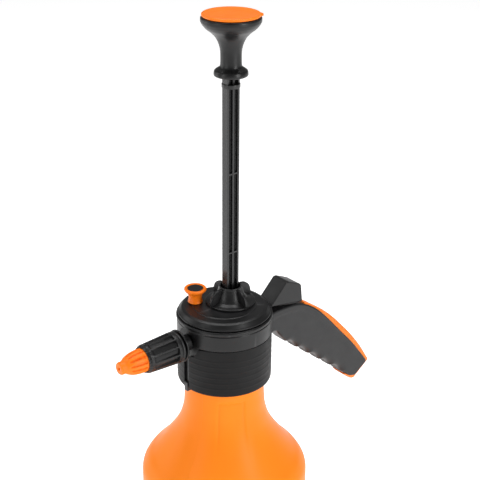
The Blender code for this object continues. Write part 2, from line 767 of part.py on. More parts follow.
# --- Air pump -----------------------------------------------------------------------------
def make_pump_nut():
    place = (PUMP_X, 0.0)
    flange_top = NUT_FLANGE_Z + NUT_FLANGE_T
    section = (
        (NUT_SKIRT_BORE_R, 0.2460),
        (NUT_SKIRT_R, 0.2460),
        (NUT_SKIRT_R, NUT_FLANGE_Z),
        (NUT_FLANGE_R, NUT_FLANGE_Z),
        (NUT_FLANGE_R, flange_top - 0.0004),
        (NUT_FLANGE_R - 0.0006, flange_top),
        (0.0155, 0.2626),
        (0.0128, 0.2638),
        (0.0109, 0.2662),
        (0.0096, 0.2695),
        (NUT_RING_R, 0.2722),
        (NUT_RING_R, NUT_TOP_Z - 0.0005),
        (NUT_RING_R - 0.0005, NUT_TOP_Z),
        (NUT_RING_BORE_R, NUT_TOP_Z),
        (NUT_RING_BORE_R, 0.2680),
        (NUT_SKIRT_BORE_R - 0.0002, 0.2624),
        (NUT_SKIRT_BORE_R, 0.2620),
    )
    nut = make_object("pump_nut", turned(section, FINE_SIDES, place, True), (BLACK, 0.40, 0.0))
    rise = NUT_TOP_Z - 0.0008 - (flange_top - 0.0004)
    run = WING_R - NUT_RING_R
    foot = flange_top - 0.0004
    arc = []
    for step in range(9):
        angle = math.pi / 2 * step / 8
        out, up = (part ** (2 / WING_BULGE) for part in (math.sin(angle), abs(math.cos(angle))))
        arc.append((NUT_RING_R + run * out, foot + rise * up))
    wing = [(0.0082, arc[0][1])] + arc + [(0.0150, flange_top - 0.0008), (0.0082, 0.2700)]
    for quarter in range(2):
        across = wing + [(-x, z) for x, z in reversed(wing)]
        bm = prism(across, -WING_T / 2, WING_T / 2)
        turn = Matrix.Rotation(quarter * math.pi / 2, 4, "Z")
        bm.transform(Matrix.Translation((PUMP_X, 0.0, 0.0)) @ turn)
        combine(nut, bm, "UNION")
    combine(nut, pillar(NUT_RING_BORE_R, 0.2620, 0.2900, FINE_SIDES, place))
    return nut


def make_nut_gasket():
    bm = tube(0.0144, 0.0168, TOWER_TOP_Z + GAP, NUT_FLANGE_Z - GAP, FINE_SIDES, (PUMP_X, 0.0))
    return make_object("nut_gasket", bm, (RUBBER, 0.8, 0.0))


def make_pump_cylinder():
    section = (
        (0.0025, 0.0700),
        (0.0062, 0.0700),
        (0.0068, BARREL_LOW_Z),
        (BARREL_R - 0.0008, BARREL_LOW_Z),
        (BARREL_R, BARREL_LOW_Z + 0.0010),
        (BARREL_R, BARREL_TOP_Z),
        (BARREL_BORE_R, BARREL_TOP_Z),
        (BARREL_BORE_R, BARREL_LOW_Z + 0.0025),
        (0.0025, BARREL_LOW_Z + 0.0025),
    )
    bm = turned(section, FINE_SIDES, (PUMP_X, 0.0), closed=True)
    return make_object("pump_cylinder", bm, (BLACK, 0.35, 0.0))


def make_check_valve():
    profile = (
        (0.0, 0.0675),
        (0.0030, 0.0677),
        (0.0052, 0.0688),
        (0.0056, 0.0697),
        (0.0021, 0.0697),
        (0.0019, BARREL_LOW_Z + 0.0028),
        (0.0032, BARREL_LOW_Z + 0.0028),
        (0.0030, BARREL_LOW_Z + 0.0038),
        (0.0, BARREL_LOW_Z + 0.0042),
    )
    bm = turned(profile, SMALL_SIDES, (PUMP_X, 0.0))
    return make_object("check_valve", bm, (RUBBER, 0.7, 0.0))


def make_guide_bush():
    bm = tube(0.00695, 0.0113, BARREL_TOP_Z + GAP, 0.2615, FINE_SIDES, (PUMP_X, 0.0))
    return make_object("rod_guide_bush", bm, (NATURAL, 0.5, 0.0))


def make_piston():
    profile = (
        (0.0, PISTON_LOW_Z),
        (PISTON_R - 0.0006, PISTON_LOW_Z),
        (PISTON_R, PISTON_LOW_Z + 0.0006),
        (PISTON_R, 0.2454),
        (0.0082, 0.2454),
        (0.0082, 0.2486),
        (PISTON_R, 0.2486),
        (PISTON_R, PISTON_TOP_Z),
        (0.0073, PISTON_TOP_Z),
        (0.0073, 0.2500),
        (0.0, 0.2500),
    )
    bm = turned(profile, FINE_SIDES, (PUMP_X, 0.0))
    return make_object("piston", bm, (NATURAL, 0.5, 0.0), (PUMP_X, 0.0, PISTON_LOW_Z))


def make_piston_ring():
    section = (
        (0.0084, 0.2459),
        (0.0092, 0.2457),
        (0.0097, 0.2463),
        (0.0097, 0.2477),
        (0.0092, 0.2483),
        (0.0084, 0.2481),
    )
    bm = turned(section, FINE_SIDES, (PUMP_X, 0.0), closed=True)
    return make_object("piston_o_ring", bm, (RUBBER, 0.7, 0.0), (PUMP_X, 0.0, 0.2470))


def rod_section():
    """Three fins across X joined by one middle web, as an outline in XY about the rod's axis."""
    web = ROD_FIN_T / 2
    inner = ROD_HALF_X - ROD_FIN_T
    quarter = (
        (ROD_HALF_X, 0.0),
        (ROD_HALF_X, ROD_HALF_Y),
        (inner, ROD_HALF_Y),
        (inner, web),
        (web, web),
        (web, ROD_HALF_Y),
    )
    upper = list(quarter[1:]) + [(-x, y) for x, y in reversed(quarter[1:])]
    return upper + [(-x, -y) for x, y in upper]


def make_pump_rod():
    outline = [(PUMP_X + x, y) for x, y in rod_section()]
    bm = prism(outline, 0.2503, ROD_TOP_Z, "XY")
    origin = (PUMP_X, 0.0, 0.2503)
    rod = make_object("pump_rod", bm, (BLACK, 0.40, 0.0), origin)
    for low in ROD_WEB_Z:
        web = block(
            (PUMP_X - ROD_HALF_X + 0.0004, -ROD_HALF_Y + 0.0004, low),
            (PUMP_X + ROD_HALF_X - 0.0004, ROD_HALF_Y - 0.0004, low + ROD_WEB_T),
        )
        combine(rod, web, "UNION")
    combine(rod, pillar(0.0066, *ROD_RING_Z, FINE_SIDES, (PUMP_X, 0.0)), "UNION")
    combine(rod, pillar(0.0062, 0.2512, 0.2532, FINE_SIDES, (PUMP_X, 0.0)), "UNION")
    return rod


def make_knob():
    profile = (
        (0.0, KNOB_LOW_Z),
        (0.0110, KNOB_LOW_Z),
        (0.0119, KNOB_LOW_Z + 0.0006),
        (0.0121, KNOB_LOW_Z + 0.0016),
        (0.0115, KNOB_LOW_Z + 0.0040),
        (0.0095, KNOB_LOW_Z + 0.0052),
        (0.0077, KNOB_LOW_Z + 0.0068),
        (0.0075, KNOB_LOW_Z + 0.0100),
        (0.0075, KNOB_LOW_Z + 0.0165),
        (0.0083, KNOB_LOW_Z + 0.0212),
        (0.0098, KNOB_LOW_Z + 0.0250),
        (0.0116, KNOB_LOW_Z + 0.0279),
        (0.0144, KNOB_LOW_Z + 0.0307),
        (0.0178, KNOB_LOW_Z + 0.0332),
        (0.0199, KNOB_LOW_Z + 0.0356),
        (KNOB_RIM_R, KNOB_LOW_Z + 0.0382),
        (KNOB_RIM_R, KNOB_LOW_Z + 0.0404),
        (0.0204, KNOB_LOW_Z + 0.0413),
        (0.0130, KNOB_LOW_Z + 0.0413),
        (0.0130, KNOB_LOW_Z + 0.0340),
        (0.0, KNOB_LOW_Z + 0.0340),
    )
    place = (PUMP_X, 0.0)
    knob = turned(profile, FINE_SIDES, place)
    knob = make_object("pump_knob", knob, (BLACK, 0.40, 0.0), (*place, KNOB_LOW_Z))
    bore = pillar(KNOB_BORE_R, KNOB_LOW_Z - 0.01, ROD_TOP_Z + 0.001, FINE_SIDES, place)
    combine(knob, bore)
    return knob


def make_knob_cap():
    profile = (
        (0.0, CAP_LOW_Z - 0.0058),
        (0.0126, CAP_LOW_Z - 0.0058),
        (0.0126, CAP_LOW_Z),
        (CAP_R - 0.0005, CAP_LOW_Z),
        (CAP_R, CAP_LOW_Z + 0.0005),
        (CAP_R, CAP_TOP_Z - 0.0008),
        (CAP_R - 0.0005, CAP_TOP_Z - 0.0002),
        (CAP_R - 0.0014, CAP_TOP_Z),
        (CAP_R - 0.0028, CAP_TOP_Z - 0.0004),
        (0.0120, CAP_TOP_Z - 0.0010),
        (0.0, CAP_TOP_Z - 0.0012),
    )
    bm = turned(profile, FINE_SIDES, (PUMP_X, 0.0))
    cap = make_object("pump_knob_cap", bm, (ORANGE, 0.40, 0.0), (PUMP_X, 0.0, CAP_LOW_Z))
    angle = math.radians(-40)
    reach = CAP_R - 0.0012
    lobe_at = (PUMP_X + reach * math.cos(angle), reach * math.sin(angle))
    lobe = pillar(0.0028, CAP_LOW_Z + 0.0003, CAP_TOP_Z - 0.0005, SMALL_SIDES, lobe_at)
    combine(cap, lobe, "UNION")
    return cap


# --- Relief valve -------------------------------------------------------------------------
def make_relief_knob():
    base = RELIEF_BASE_Z
    profile = (
        (0.0, base),
        (0.0057, base),
        (0.0054, base + 0.0010),
        (0.0051, base + 0.0025),
        (0.0050, base + 0.0044),
        (0.0055, base + 0.0068),
        (0.0072, base + 0.0086),
        (0.0084, base + 0.0100),
        (0.0084, base + 0.0111),
        (0.0077, base + 0.0117),
        (0.0060, base + 0.0112),
        (0.0060, base + 0.0100),
        (0.0, base + 0.0100),
    )
    outer = turned(profile, FINE_SIDES, (RELIEF_X, RELIEF_Y))
    knob = make_object("relief_knob", outer, (ORANGE, 0.40, 0.0), (RELIEF_X, RELIEF_Y, base))
    bore = pillar(RELIEF_STEM_R + GAP, base - 0.01, base + 0.0075, SMALL_SIDES, (RELIEF_X, RELIEF_Y))
    combine(knob, bore)
    return knob


def make_relief_insert():
    low = RELIEF_BASE_Z + 0.0100 + GAP
    bm = pillar(0.0057, low, low + 0.0008, FINE_SIDES, (RELIEF_X, RELIEF_Y))
    return make_object("relief_insert", bm, (BLACK, 0.5, 0.0))


def make_relief_stem():
    profile = (
        (0.0, 0.2341),
        (RELIEF_STEM_R, 0.2341),
        (RELIEF_STEM_R, RELIEF_COLLAR_Z - 0.0014),
        (0.0036, RELIEF_COLLAR_Z - 0.0014),
        (0.0036, RELIEF_COLLAR_Z),
        (RELIEF_STEM_R, RELIEF_COLLAR_Z),
        (RELIEF_STEM_R, RELIEF_BASE_Z + 0.0070),
        (0.0, RELIEF_BASE_Z + 0.0070),
    )
    bm = turned(profile, SMALL_SIDES, (RELIEF_X, RELIEF_Y))
    return make_object("relief_stem", bm, (NATURAL, 0.4, 0.0), (RELIEF_X, RELIEF_Y, 0.2341))


def make_relief_spring():
    low, high = RELIEF_COLLAR_Z + GAP, COVER_UNDER_Z - GAP
    bm = coil(0.00030, 0.0028, low, high, 5, (RELIEF_X, RELIEF_Y))
    return make_object("relief_spring", bm, (STEEL, 0.3, 1.0))


def make_relief_seal():
    low = FLOOR_TOP_Z + GAP
    bm = pillar(0.0033, low, 0.2338, SMALL_SIDES, (RELIEF_X, RELIEF_Y))
    return make_object("relief_seal", bm, (RUBBER, 0.8, 0.0), (RELIEF_X, RELIEF_Y, low))


# --- Nozzle -------------------------------------------------------------------------------
def make_nozzle_spigot():
    section = (
        (SPIGOT_BORE_R, 0.0270),
        (SOCKET_R - GAP, 0.0270),
        (SOCKET_R - GAP, 0.0310),
        (0.0050, 0.0310),
        (0.0050, 0.0351),
        (NOZZLE_BOSS_R, 0.0351),
        (NOZZLE_BOSS_R, NOZZLE_FLANGE_X),
        (NOZZLE_FLANGE_R, NOZZLE_FLANGE_X),
        (NOZZLE_FLANGE_R, NOZZLE_FLANGE_X + 0.0014),
        (SPIGOT_R, NOZZLE_FLANGE_X + 0.0020),
        (SPIGOT_R, 0.0715),
        (SPIGOT_R - 0.0005, 0.0720),
        (0.0031, 0.0720),
        (0.0031, 0.0690),
        (SPIGOT_BORE_R, 0.0690),
    )
    bm = along_x(turned(section, FINE_SIDES, closed=True), NOZZLE_Z)
    return make_object("nozzle_spigot", bm, (BLACK, 0.40, 0.0))


def make_swirl_insert():
    profile = (
        (0.0, 0.0693),
        (0.0028, 0.0693),
        (0.0028, 0.0780),
        (0.0018, 0.0792),
        (0.0, 0.0792),
    )
    bm = along_x(turned(profile, SMALL_SIDES), NOZZLE_Z)
    swirl = make_object("swirl_insert", bm, (NATURAL, 0.4, 0.0))
    combine(swirl, block((-0.08, -0.0004, NOZZLE_Z + 0.0018), (-0.068, 0.0004, NOZZLE_Z + 0.0040)))
    combine(swirl, block((-0.08, -0.0004, NOZZLE_Z - 0.0040), (-0.068, 0.0004, NOZZLE_Z - 0.0018)))
    return swirl


def make_nozzle_sleeve():
    mouth, rear = SLEEVE_MOUTH_X, SLEEVE_REAR_X
    section = (
        (SLEEVE_BORE_R, rear),
        (0.0116, rear),
        (0.0120, rear + 0.0006),
        (0.0120, rear + 0.0018),
        (0.0115, rear + 0.0021),
        (0.0115, rear + 0.0026),
        (0.0120, rear + 0.0029),
        (0.0120, rear + 0.0040),
        (0.0106, rear + 0.0046),
        (0.0097, mouth - 0.0030),
        (0.0106, mouth - 0.0018),
        (0.0108, mouth),
        (0.0102, mouth),
        (0.0100, mouth + 0.0016),
        (0.0093, mouth + 0.0016),
        (0.0091, mouth - 0.0158),
        (SLEEVE_BORE_R, mouth - 0.0158),
    )
    origin = (-mouth, 0.0, NOZZLE_Z)
    bm = along_x(turned(section, FINE_SIDES, closed=True), NOZZLE_Z)
    sleeve = make_object("nozzle_sleeve", bm, (BLACK, 0.45, 0.0), origin)
    start, end = -rear - 0.0036, -mouth + 0.0004
    rib = ((start, 0.0095), (start, 0.0119), (end, 0.0110), (end, 0.0098))
    for index in range(SLEEVE_RIBS):
        bm = prism(rib, -0.0009, 0.0009)
        turn = Matrix.Rotation(2 * math.pi * index / SLEEVE_RIBS, 4, "X")
        bm.transform(Matrix.Translation((0.0, 0.0, NOZZLE_Z)) @ turn)
        combine(sleeve, bm, "UNION")
    return sleeve


def make_nozzle_tip():
    section = (
        (TIP_BORE_R, 0.0594),
        (0.0088, 0.0594),
        (0.0088, 0.0757),
        (0.0088, 0.0800),
        (0.0084, 0.0835),
        (0.0077, 0.0866),
        (0.0066, 0.0894),
        (0.0055, 0.0912),
        (0.0048, 0.0919),
        (0.0048, 0.0952),
        (0.0041, 0.0962),
        (0.0009, 0.0962),
        (0.0008, 0.0860),
        (TIP_BORE_R - 0.0012, 0.0840),
        (TIP_BORE_R, 0.0800),
        (TIP_BORE_R, 0.0651),
        (0.0074, 0.0651),
        (0.0074, 0.0629),
        (TIP_BORE_R, 0.0629),
    )
    bm = along_x(turned(section, FINE_SIDES, closed=True), NOZZLE_Z)
    return make_object("nozzle_tip", bm, (ORANGE, 0.35, 0.0), (-0.0594, 0.0, NOZZLE_Z))


def make_nozzle_ring():
    bm = along_x(tube(0.0061, 0.0072, 0.0633, 0.0647, FINE_SIDES), NOZZLE_Z)
    return make_object("nozzle_o_ring", bm, (RUBBER, 0.7, 0.0), (-0.0633, 0.0, NOZZLE_Z))


def main():
    clear_scene()
    make_bottle()
    make_neck_gasket()
    make_head_body()
    make_top_cover()
    make_grip_band()
    make_grip_shell("grip_shell_left", 1)
    make_grip_shell("grip_shell_right", -1)
    make_back_insert()
    for number, place in enumerate(SCREWS, start=1):
        make_grip_screw(f"grip_screw_{number}", place)
    make_trigger_lever()
    make_trigger_pin()
    make_trigger_spring()
    make_rocker()
    make_rocker_pin()
    make_valve_body()
    make_valve_cap()
    make_valve_stem()
    make_valve_seal()
    make_valve_spring()
    make_dip_tube()
    make_strainer()
    make_pump_nut()
    make_nut_gasket()
    make_pump_cylinder()
    make_check_valve()
    make_guide_bush()
    make_piston()
    make_piston_ring()
    make_pump_rod()
    make_knob()
    make_knob_cap()
    make_relief_knob()
    make_relief_insert()
    make_relief_stem()
    make_relief_spring()
    make_relief_seal()
    make_nozzle_spigot()
    make_swirl_insert()
    make_nozzle_sleeve()
    make_nozzle_tip()
    make_nozzle_ring()


main()
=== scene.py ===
import json
import math

import bmesh
import bpy
import numpy as np
from mathutils import Matrix, Vector
from mathutils.geometry import delaunay_2d_cdt


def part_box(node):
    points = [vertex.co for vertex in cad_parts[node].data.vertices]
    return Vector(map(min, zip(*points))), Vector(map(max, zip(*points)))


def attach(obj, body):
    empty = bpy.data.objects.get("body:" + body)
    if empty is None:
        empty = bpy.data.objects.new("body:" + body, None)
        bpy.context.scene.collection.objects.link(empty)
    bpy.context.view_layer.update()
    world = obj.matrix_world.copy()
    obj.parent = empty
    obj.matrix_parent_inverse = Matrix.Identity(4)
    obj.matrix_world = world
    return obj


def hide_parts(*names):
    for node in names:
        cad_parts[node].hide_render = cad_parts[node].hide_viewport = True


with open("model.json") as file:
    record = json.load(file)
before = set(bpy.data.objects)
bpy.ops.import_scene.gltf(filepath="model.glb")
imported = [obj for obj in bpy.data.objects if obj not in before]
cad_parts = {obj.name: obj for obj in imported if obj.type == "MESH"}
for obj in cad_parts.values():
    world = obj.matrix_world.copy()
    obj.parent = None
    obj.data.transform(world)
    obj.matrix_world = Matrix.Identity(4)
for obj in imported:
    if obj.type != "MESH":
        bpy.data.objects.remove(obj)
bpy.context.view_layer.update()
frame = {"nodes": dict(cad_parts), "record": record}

# --- Places, read from the frame ----------------------------------------------------------
BAND_LOW, BAND_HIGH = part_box("grip_band")
SKIRT_Z = BAND_LOW.z - 0.0003
HEAD_R = BAND_HIGH.y
KNOB_LOW, KNOB_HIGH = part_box("pump_knob")
PUMP = ((KNOB_LOW.x + KNOB_HIGH.x) / 2, 0.0)
KNOB_Z = KNOB_LOW.z
RELIEF_LOW, RELIEF_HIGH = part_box("relief_knob")
RELIEF = ((RELIEF_LOW.x + RELIEF_HIGH.x) / 2, (RELIEF_LOW.y + RELIEF_HIGH.y) / 2)
RELIEF_Z = RELIEF_LOW.z
SLEEVE_LOW, SLEEVE_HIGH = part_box("nozzle_sleeve")
NOZZLE_Z = (SLEEVE_LOW.z + SLEEVE_HIGH.z) / 2
PIN_LOW, PIN_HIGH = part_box("trigger_pin")
PIN = ((PIN_LOW.x + PIN_HIGH.x) / 2, (PIN_LOW.z + PIN_HIGH.z) / 2)
GRIP_HALF_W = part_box("grip_shell_left")[1].y
LEVER_HALF_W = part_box("trigger_lever")[1].y

# Outer side of the bottle: radius and height above the base, in millimetres
BOTTLE_SIDE = (
    (65.1, 108.0),
    (65.1, 114.0),
    (64.9, 117.5),
    (63.7, 121.3),
    (60.0, 126.9),
    (55.2, 131.8),
    (50.8, 137.0),
    (46.9, 142.0),
    (43.3, 147.0),
    (40.0, 152.0),
    (37.2, 157.0),
    (34.9, 162.0),
    (33.0, 168.0),
    (31.5, 175.0),
    (30.9, 183.0),
    (30.6, 188.0),
    (30.6, 192.0),
)
BOTTLE_FOOT = (
    (0.0, 0.0),
    (20.0, 0.0),
    (22.5, 1.2),
    (49.0, 1.2),
    (51.5, 0.0),
    (57.5, 0.0),
    (61.2, 1.0),
    (63.7, 3.5),
    (64.9, 9.0),
    (65.1, 16.0),
)
PANEL_ANGLES = (-119.0, 61.0)
PARTING_ANGLES = (-161.0, 19.0)

# Side of the grip: x and height, in metres
GRIP_TOP = (
    (0.0330, 0.2405),
    (0.0408, 0.2412),
    (0.0493, 0.2420),
    (0.0636, 0.2414),
    (0.0732, 0.2391),
    (0.0830, 0.2336),
    (0.0933, 0.2253),
    (0.1038, 0.2144),
    (0.1146, 0.2024),
    (0.1318, 0.1834),
    (0.1444, 0.1673),
    (0.1503, 0.1594),
)
GRIP_END = ((0.1368, 0.1500), (0.1312, 0.1516))
SCALLOP_FROM = (0.1215, 0.1585)
SCALLOP_TO = (0.0570, 0.2103)
SCALLOPS = 5
GRIP_ROOT = ((0.0500, 0.2185), (0.0453, 0.2240), (0.0400, 0.2238), (0.0330, 0.2215))
INSERT_RIDGE = (
    (0.0762, 0.2392),
    (0.0807, 0.2370),
    (0.0907, 0.2302),
    (0.1010, 0.2227),
    (0.1116, 0.2134),
    (0.1224, 0.2022),
    (0.1336, 0.1899),
    (0.1454, 0.1745),
    (0.1545, 0.1600),
)
INSERT_END = ((0.1541, 0.1580), (0.1372, 0.1452), (0.1350, 0.1456), (0.1250, 0.1541))
SCALLOP_DEPTH = 0.0023
INSERT_HALF_W = 0.0074
WINDOW_HALF_W = 0.0052
WINDOW_Z = (0.2388, 0.2508)
WEB_HEIGHTS = (0.3008, 0.3625)  # cross webs of the pump rod
LEVER_SIDE = (
    (0.0395, 0.2470),
    (0.0555, 0.2633),
    (0.0580, 0.2632),
    (0.0698, 0.2579),
    (0.0712, 0.2562),
    (0.0728, 0.2418),
    (0.0640, 0.2424),
)
LEVER_HOLLOW = (
    (0.0450, 0.2370),
    (0.0450, 0.2490),
    (0.0563, 0.2610),
    (0.0697, 0.2555),
    (0.0715, 0.2370),
)


# --- Materials ----------------------------------------------------------------------------
def node(tree, kind, **settings):
    made = tree.nodes.new(kind)
    for key, value in settings.items():
        setattr(made, key, value)
    return made


def noise_layer(tree, scale, detail=3.0, stretch=(1.0, 1.0, 1.0)):
    coords = node(tree, "ShaderNodeTexCoord")
    mapping = node(tree, "ShaderNodeMapping")
    mapping.inputs["Scale"].default_value = stretch
    texture = node(tree, "ShaderNodeTexNoise")
    texture.inputs["Scale"].default_value = scale
    texture.inputs["Detail"].default_value = detail
    tree.links.new(coords.outputs["Object"], mapping.inputs["Vector"])
    tree.links.new(mapping.outputs["Vector"], texture.inputs["Vector"])
    return texture.outputs["Fac"]


def spread(tree, source, low, high, start=0.3, end=0.7):
    """The layer's values from start to end, spread out from low to high."""
    ranged = node(tree, "ShaderNodeMapRange")
    ranged.inputs["From Min"].default_value = start
    ranged.inputs["From Max"].default_value = end
    ranged.inputs["To Min"].default_value = low
    ranged.inputs["To Max"].default_value = high
    tree.links.new(source, ranged.inputs["Value"])
    return ranged.outputs["Result"]


def blended(tree, factor, first, second, mode="MIX"):
    mix = node(tree, "ShaderNodeMix", data_type="RGBA", blend_type=mode)
    if isinstance(factor, float):
        mix.inputs["Factor"].default_value = factor
    else:
        tree.links.new(factor, mix.inputs["Factor"])
    for key, value in (("A", first), ("B", second)):
        socket = [s for s in mix.inputs if s.name == key and s.type == "RGBA"][0]
        if isinstance(value, tuple):
            socket.default_value = (*value, 1.0)
        else:
            tree.links.new(value, socket)
    return [s for s in mix.outputs if s.type == "RGBA"][0]


def bumped(tree, height, distance, strength, below=None):
    bump = node(tree, "ShaderNodeBump")
    bump.inputs["Distance"].default_value = distance
    bump.inputs["Strength"].default_value = strength
    tree.links.new(height, bump.inputs["Height"])
    if below is not None:
        tree.links.new(below, bump.inputs["Normal"])
    return bump.outputs["Normal"]


def make_material(
    name,
    colour,
    varied,
    pale_edge_wear_and_highlight,
    roughness,
    grain=2200.0,
    grain_depth=0.00003,
    patch=45.0,
    stretch=(1.0, 1.0, 1.0),
    specular=0.5,
    metallic=0.0,
    edge_wear_and_highlight_amount=0.35,
):
    """A moulded or metal surface: broad colour patches, paler edges (edge wear and a painted edge
    highlight), fine grain and uneven gloss.
    """
    material = bpy.data.materials.new(name)
    material.use_nodes = True
    tree = material.node_tree
    shader = tree.nodes["Principled BSDF"]
    shader.inputs["Metallic"].default_value = metallic
    shader.inputs["Specular IOR Level"].default_value = specular
    broad = spread(tree, noise_layer(tree, patch, 4.0, stretch), 0.0, 1.0)
    base = blended(tree, broad, colour, varied)
    geometry = node(tree, "ShaderNodeNewGeometry")
    # Paler colour on sharp edges from Pointiness: partly edge wear, partly a painted highlight along
    # the edges.
    edge = spread(tree, geometry.outputs["Pointiness"], 0.0, edge_wear_and_highlight_amount, 0.52, 0.62)
    base = blended(tree, edge, base, pale_edge_wear_and_highlight)
    tree.links.new(base, shader.inputs["Base Color"])
    fine = noise_layer(tree, grain, 2.0)
    gloss = node(tree, "ShaderNodeMath", operation="MULTIPLY_ADD")
    tree.links.new(fine, gloss.inputs[0])
    gloss.inputs[1].default_value = 0.10
    uneven = noise_layer(tree, patch * 2.3, 3.0, stretch)
    tree.links.new(spread(tree, uneven, roughness - 0.09, roughness - 0.01), gloss.inputs[2])
    tree.links.new(gloss.outputs["Value"], shader.inputs["Roughness"])
    slow = bumped(tree, noise_layer(tree, patch, 2.0, stretch), 0.00012, 0.35)
    tree.links.new(bumped(tree, fine, grain_depth, 0.55, slow), shader.inputs["Normal"])
    return material


# The third colour of each material is its pale edge colour: edge wear plus a painted edge highlight.
BOTTLE_ORANGE = make_material(
    "bottle_orange",
    (1.0, 0.250, 0.014),
    (0.98, 0.230, 0.011),
    (1.0, 0.36, 0.06),
    0.40,
    grain=1500.0,
    grain_depth=0.00004,
    patch=26.0,
    stretch=(1.0, 1.0, 0.35),
    specular=0.12,
)
PART_ORANGE = make_material(
    "part_orange",
    (0.98, 0.210, 0.008),
    (0.94, 0.190, 0.006),
    (1.0, 0.34, 0.04),
    0.40,
    patch=80.0,
    specular=0.24,
)
BLACK = make_material(
    "satin_black",
    (0.0042, 0.0042, 0.0044),
    (0.0058, 0.0058, 0.0061),
    (0.060, 0.060, 0.062),
    0.36,
    grain=1900.0,
    grain_depth=0.00005,
    patch=60.0,
    specular=0.36,
    edge_wear_and_highlight_amount=0.55,
)
GRIP_BLACK = make_material(
    "grip_black",
    (0.0125, 0.0125, 0.0130),
    (0.0165, 0.0165, 0.0172),
    (0.045, 0.045, 0.047),
    0.46,
    grain=1700.0,
    grain_depth=0.00006,
    patch=60.0,
    specular=0.36,
)
ROD_BLACK = make_material(
    "rod_black",
    (0.0040, 0.0040, 0.0042),
    (0.0060, 0.0060, 0.0062),
    (0.030, 0.030, 0.031),
    0.26,
    grain=1500.0,
    grain_depth=0.00002,
    patch=70.0,
    specular=0.5,
)
SOFT_BLACK = make_material(
    "soft_black",
    (0.0044, 0.0044, 0.0046),
    (0.0064, 0.0064, 0.0067),
    (0.036, 0.036, 0.037),
    0.52,
    grain=2600.0,
    grain_depth=0.00006,
    patch=70.0,
    specular=0.19,
)
RUBBER = make_material(
    "seal_rubber",
    (0.012, 0.012, 0.012),
    (0.020, 0.020, 0.020),
    (0.04, 0.04, 0.04),
    0.75,
    specular=0.35,
)
NATURAL = make_material(
    "natural_plastic", (0.78, 0.78, 0.73), (0.72, 0.72, 0.66), (0.85, 0.85, 0.80), 0.45, patch=90.0
)
STEEL = make_material(
    "bright_steel",
    (0.62, 0.62, 0.64),
    (0.55, 0.55, 0.57),
    (0.75, 0.75, 0.76),
    0.30,
    metallic=1.0,
    patch=200.0,
    stretch=(1.0, 1.0, 6.0),
)
CARRIED = {
    "seal_rubber": RUBBER,
    "natural_plastic": NATURAL,
    "steel": STEEL,
    "black_plastic": BLACK,
    "soft_black": SOFT_BLACK,
    "orange_plastic": PART_ORANGE,
    "bottle_orange": BOTTLE_ORANGE,
}


# --- Lines --------------------------------------------------------------------------------
def flowing(points, step):
    """A smooth line through the points, with a point about every step."""
    points = np.array(points, float)
    ends = np.vstack([2 * points[0] - points[1], points, 2 * points[-1] - points[-2]])
    line = []
    for a, b, c, d in zip(ends, ends[1:], ends[2:], ends[3:]):
        count = max(1, int(round(np.linalg.norm(c - b) / step)))
        for t in np.arange(count) / count:
            square = (2 * a - 5 * b + 4 * c - d) * t**2
            cube = (3 * b - a - 3 * c + d) * t**3
            line.append(0.5 * (2 * b + (c - a) * t + square + cube))
    line.append(points[-1])
    return np.array(line)


def softened(points, radius, closed=False, steps=4):
    """The line with each corner rounded."""
    points = [np.array(p, float) for p in points]
    count = len(points)
    line = []
    for index, here in enumerate(points):
        if not closed and index in (0, count - 1):
            line.append(here)
            continue
        back, ahead = points[index - 1] - here, points[(index + 1) % count] - here
        reach = min(radius, 0.45 * np.linalg.norm(back), 0.45 * np.linalg.norm(ahead))
        start = here + back / np.linalg.norm(back) * reach
        end = here + ahead / np.linalg.norm(ahead) * reach
        for t in np.arange(steps + 1) / steps:
            line.append((1 - t) ** 2 * start + 2 * t * (1 - t) * here + t**2 * end)
    return np.array(line)


def spaced(line, step, closed=False):
    """The line again, with its points evenly spaced."""
    line = np.array(line, float)
    if closed:
        line = np.vstack([line, line[:1]])
    along = np.concatenate([[0.0], np.cumsum(np.linalg.norm(np.diff(line, axis=0), axis=1))])
    count = max(2, int(round(along[-1] / step)) + 1)
    at = np.linspace(0.0, along[-1], count)
    even = np.stack([np.interp(at, along, line[:, axis]) for axis in range(2)], axis=1)
    return even[:-1] if closed else even


def inward(outline):
    """Unit normals that point into a closed outline."""
    ahead = np.roll(outline, -1, axis=0) - np.roll(outline, 1, axis=0)
    normals = np.stack([-ahead[:, 1], ahead[:, 0]], axis=1)
    normals /= np.linalg.norm(normals, axis=1)[:, None]
    after = np.roll(outline, -1, axis=0)
    area = np.sum(outline[:, 0] * after[:, 1] - after[:, 0] * outline[:, 1])
    return normals if area > 0 else -normals


def gap_to(outline, points):
    """Each point's distance to a closed outline and the index of its nearest corner."""
    a, b = outline, np.roll(outline, -1, axis=0)
    side = b - a
    length = np.sum(side**2, axis=1)
    rel = points[:, None, :] - a[None]
    t = np.clip(np.sum(rel * side[None], axis=2) / length[None], 0.0, 1.0)
    apart = np.linalg.norm(rel - t[..., None] * side[None], axis=2)
    nearest = np.argmin(apart, axis=1)
    return apart[np.arange(len(points)), nearest], nearest


def within(outline, points):
    a, b = outline, np.roll(outline, -1, axis=0)
    x, y = points[:, :1], points[:, 1:]
    crosses = (a[None, :, 1] > y) != (b[None, :, 1] > y)
    rise = np.where(b[:, 1] == a[:, 1], 1e-12, b[:, 1] - a[:, 1])
    at = a[None, :, 0] + (y - a[None, :, 1]) * ((b[:, 0] - a[:, 0]) / rise)[None]
    return np.sum(crosses & (x < at), axis=1) % 2 == 1


def eased(value, low, high):
    t = np.clip((np.asarray(value, float) - low) / (high - low), 0.0, 1.0)
    return t * t * (3 - 2 * t)


# --- Meshes -------------------------------------------------------------------------------
def grid_faces(rows, columns):
    faces = []
    for row in range(rows - 1):
        for column in range(columns):
            after = (column + 1) % columns
            low, high = row * columns, (row + 1) * columns
            faces.append((low + column, low + after, high + after, high + column))
    return faces


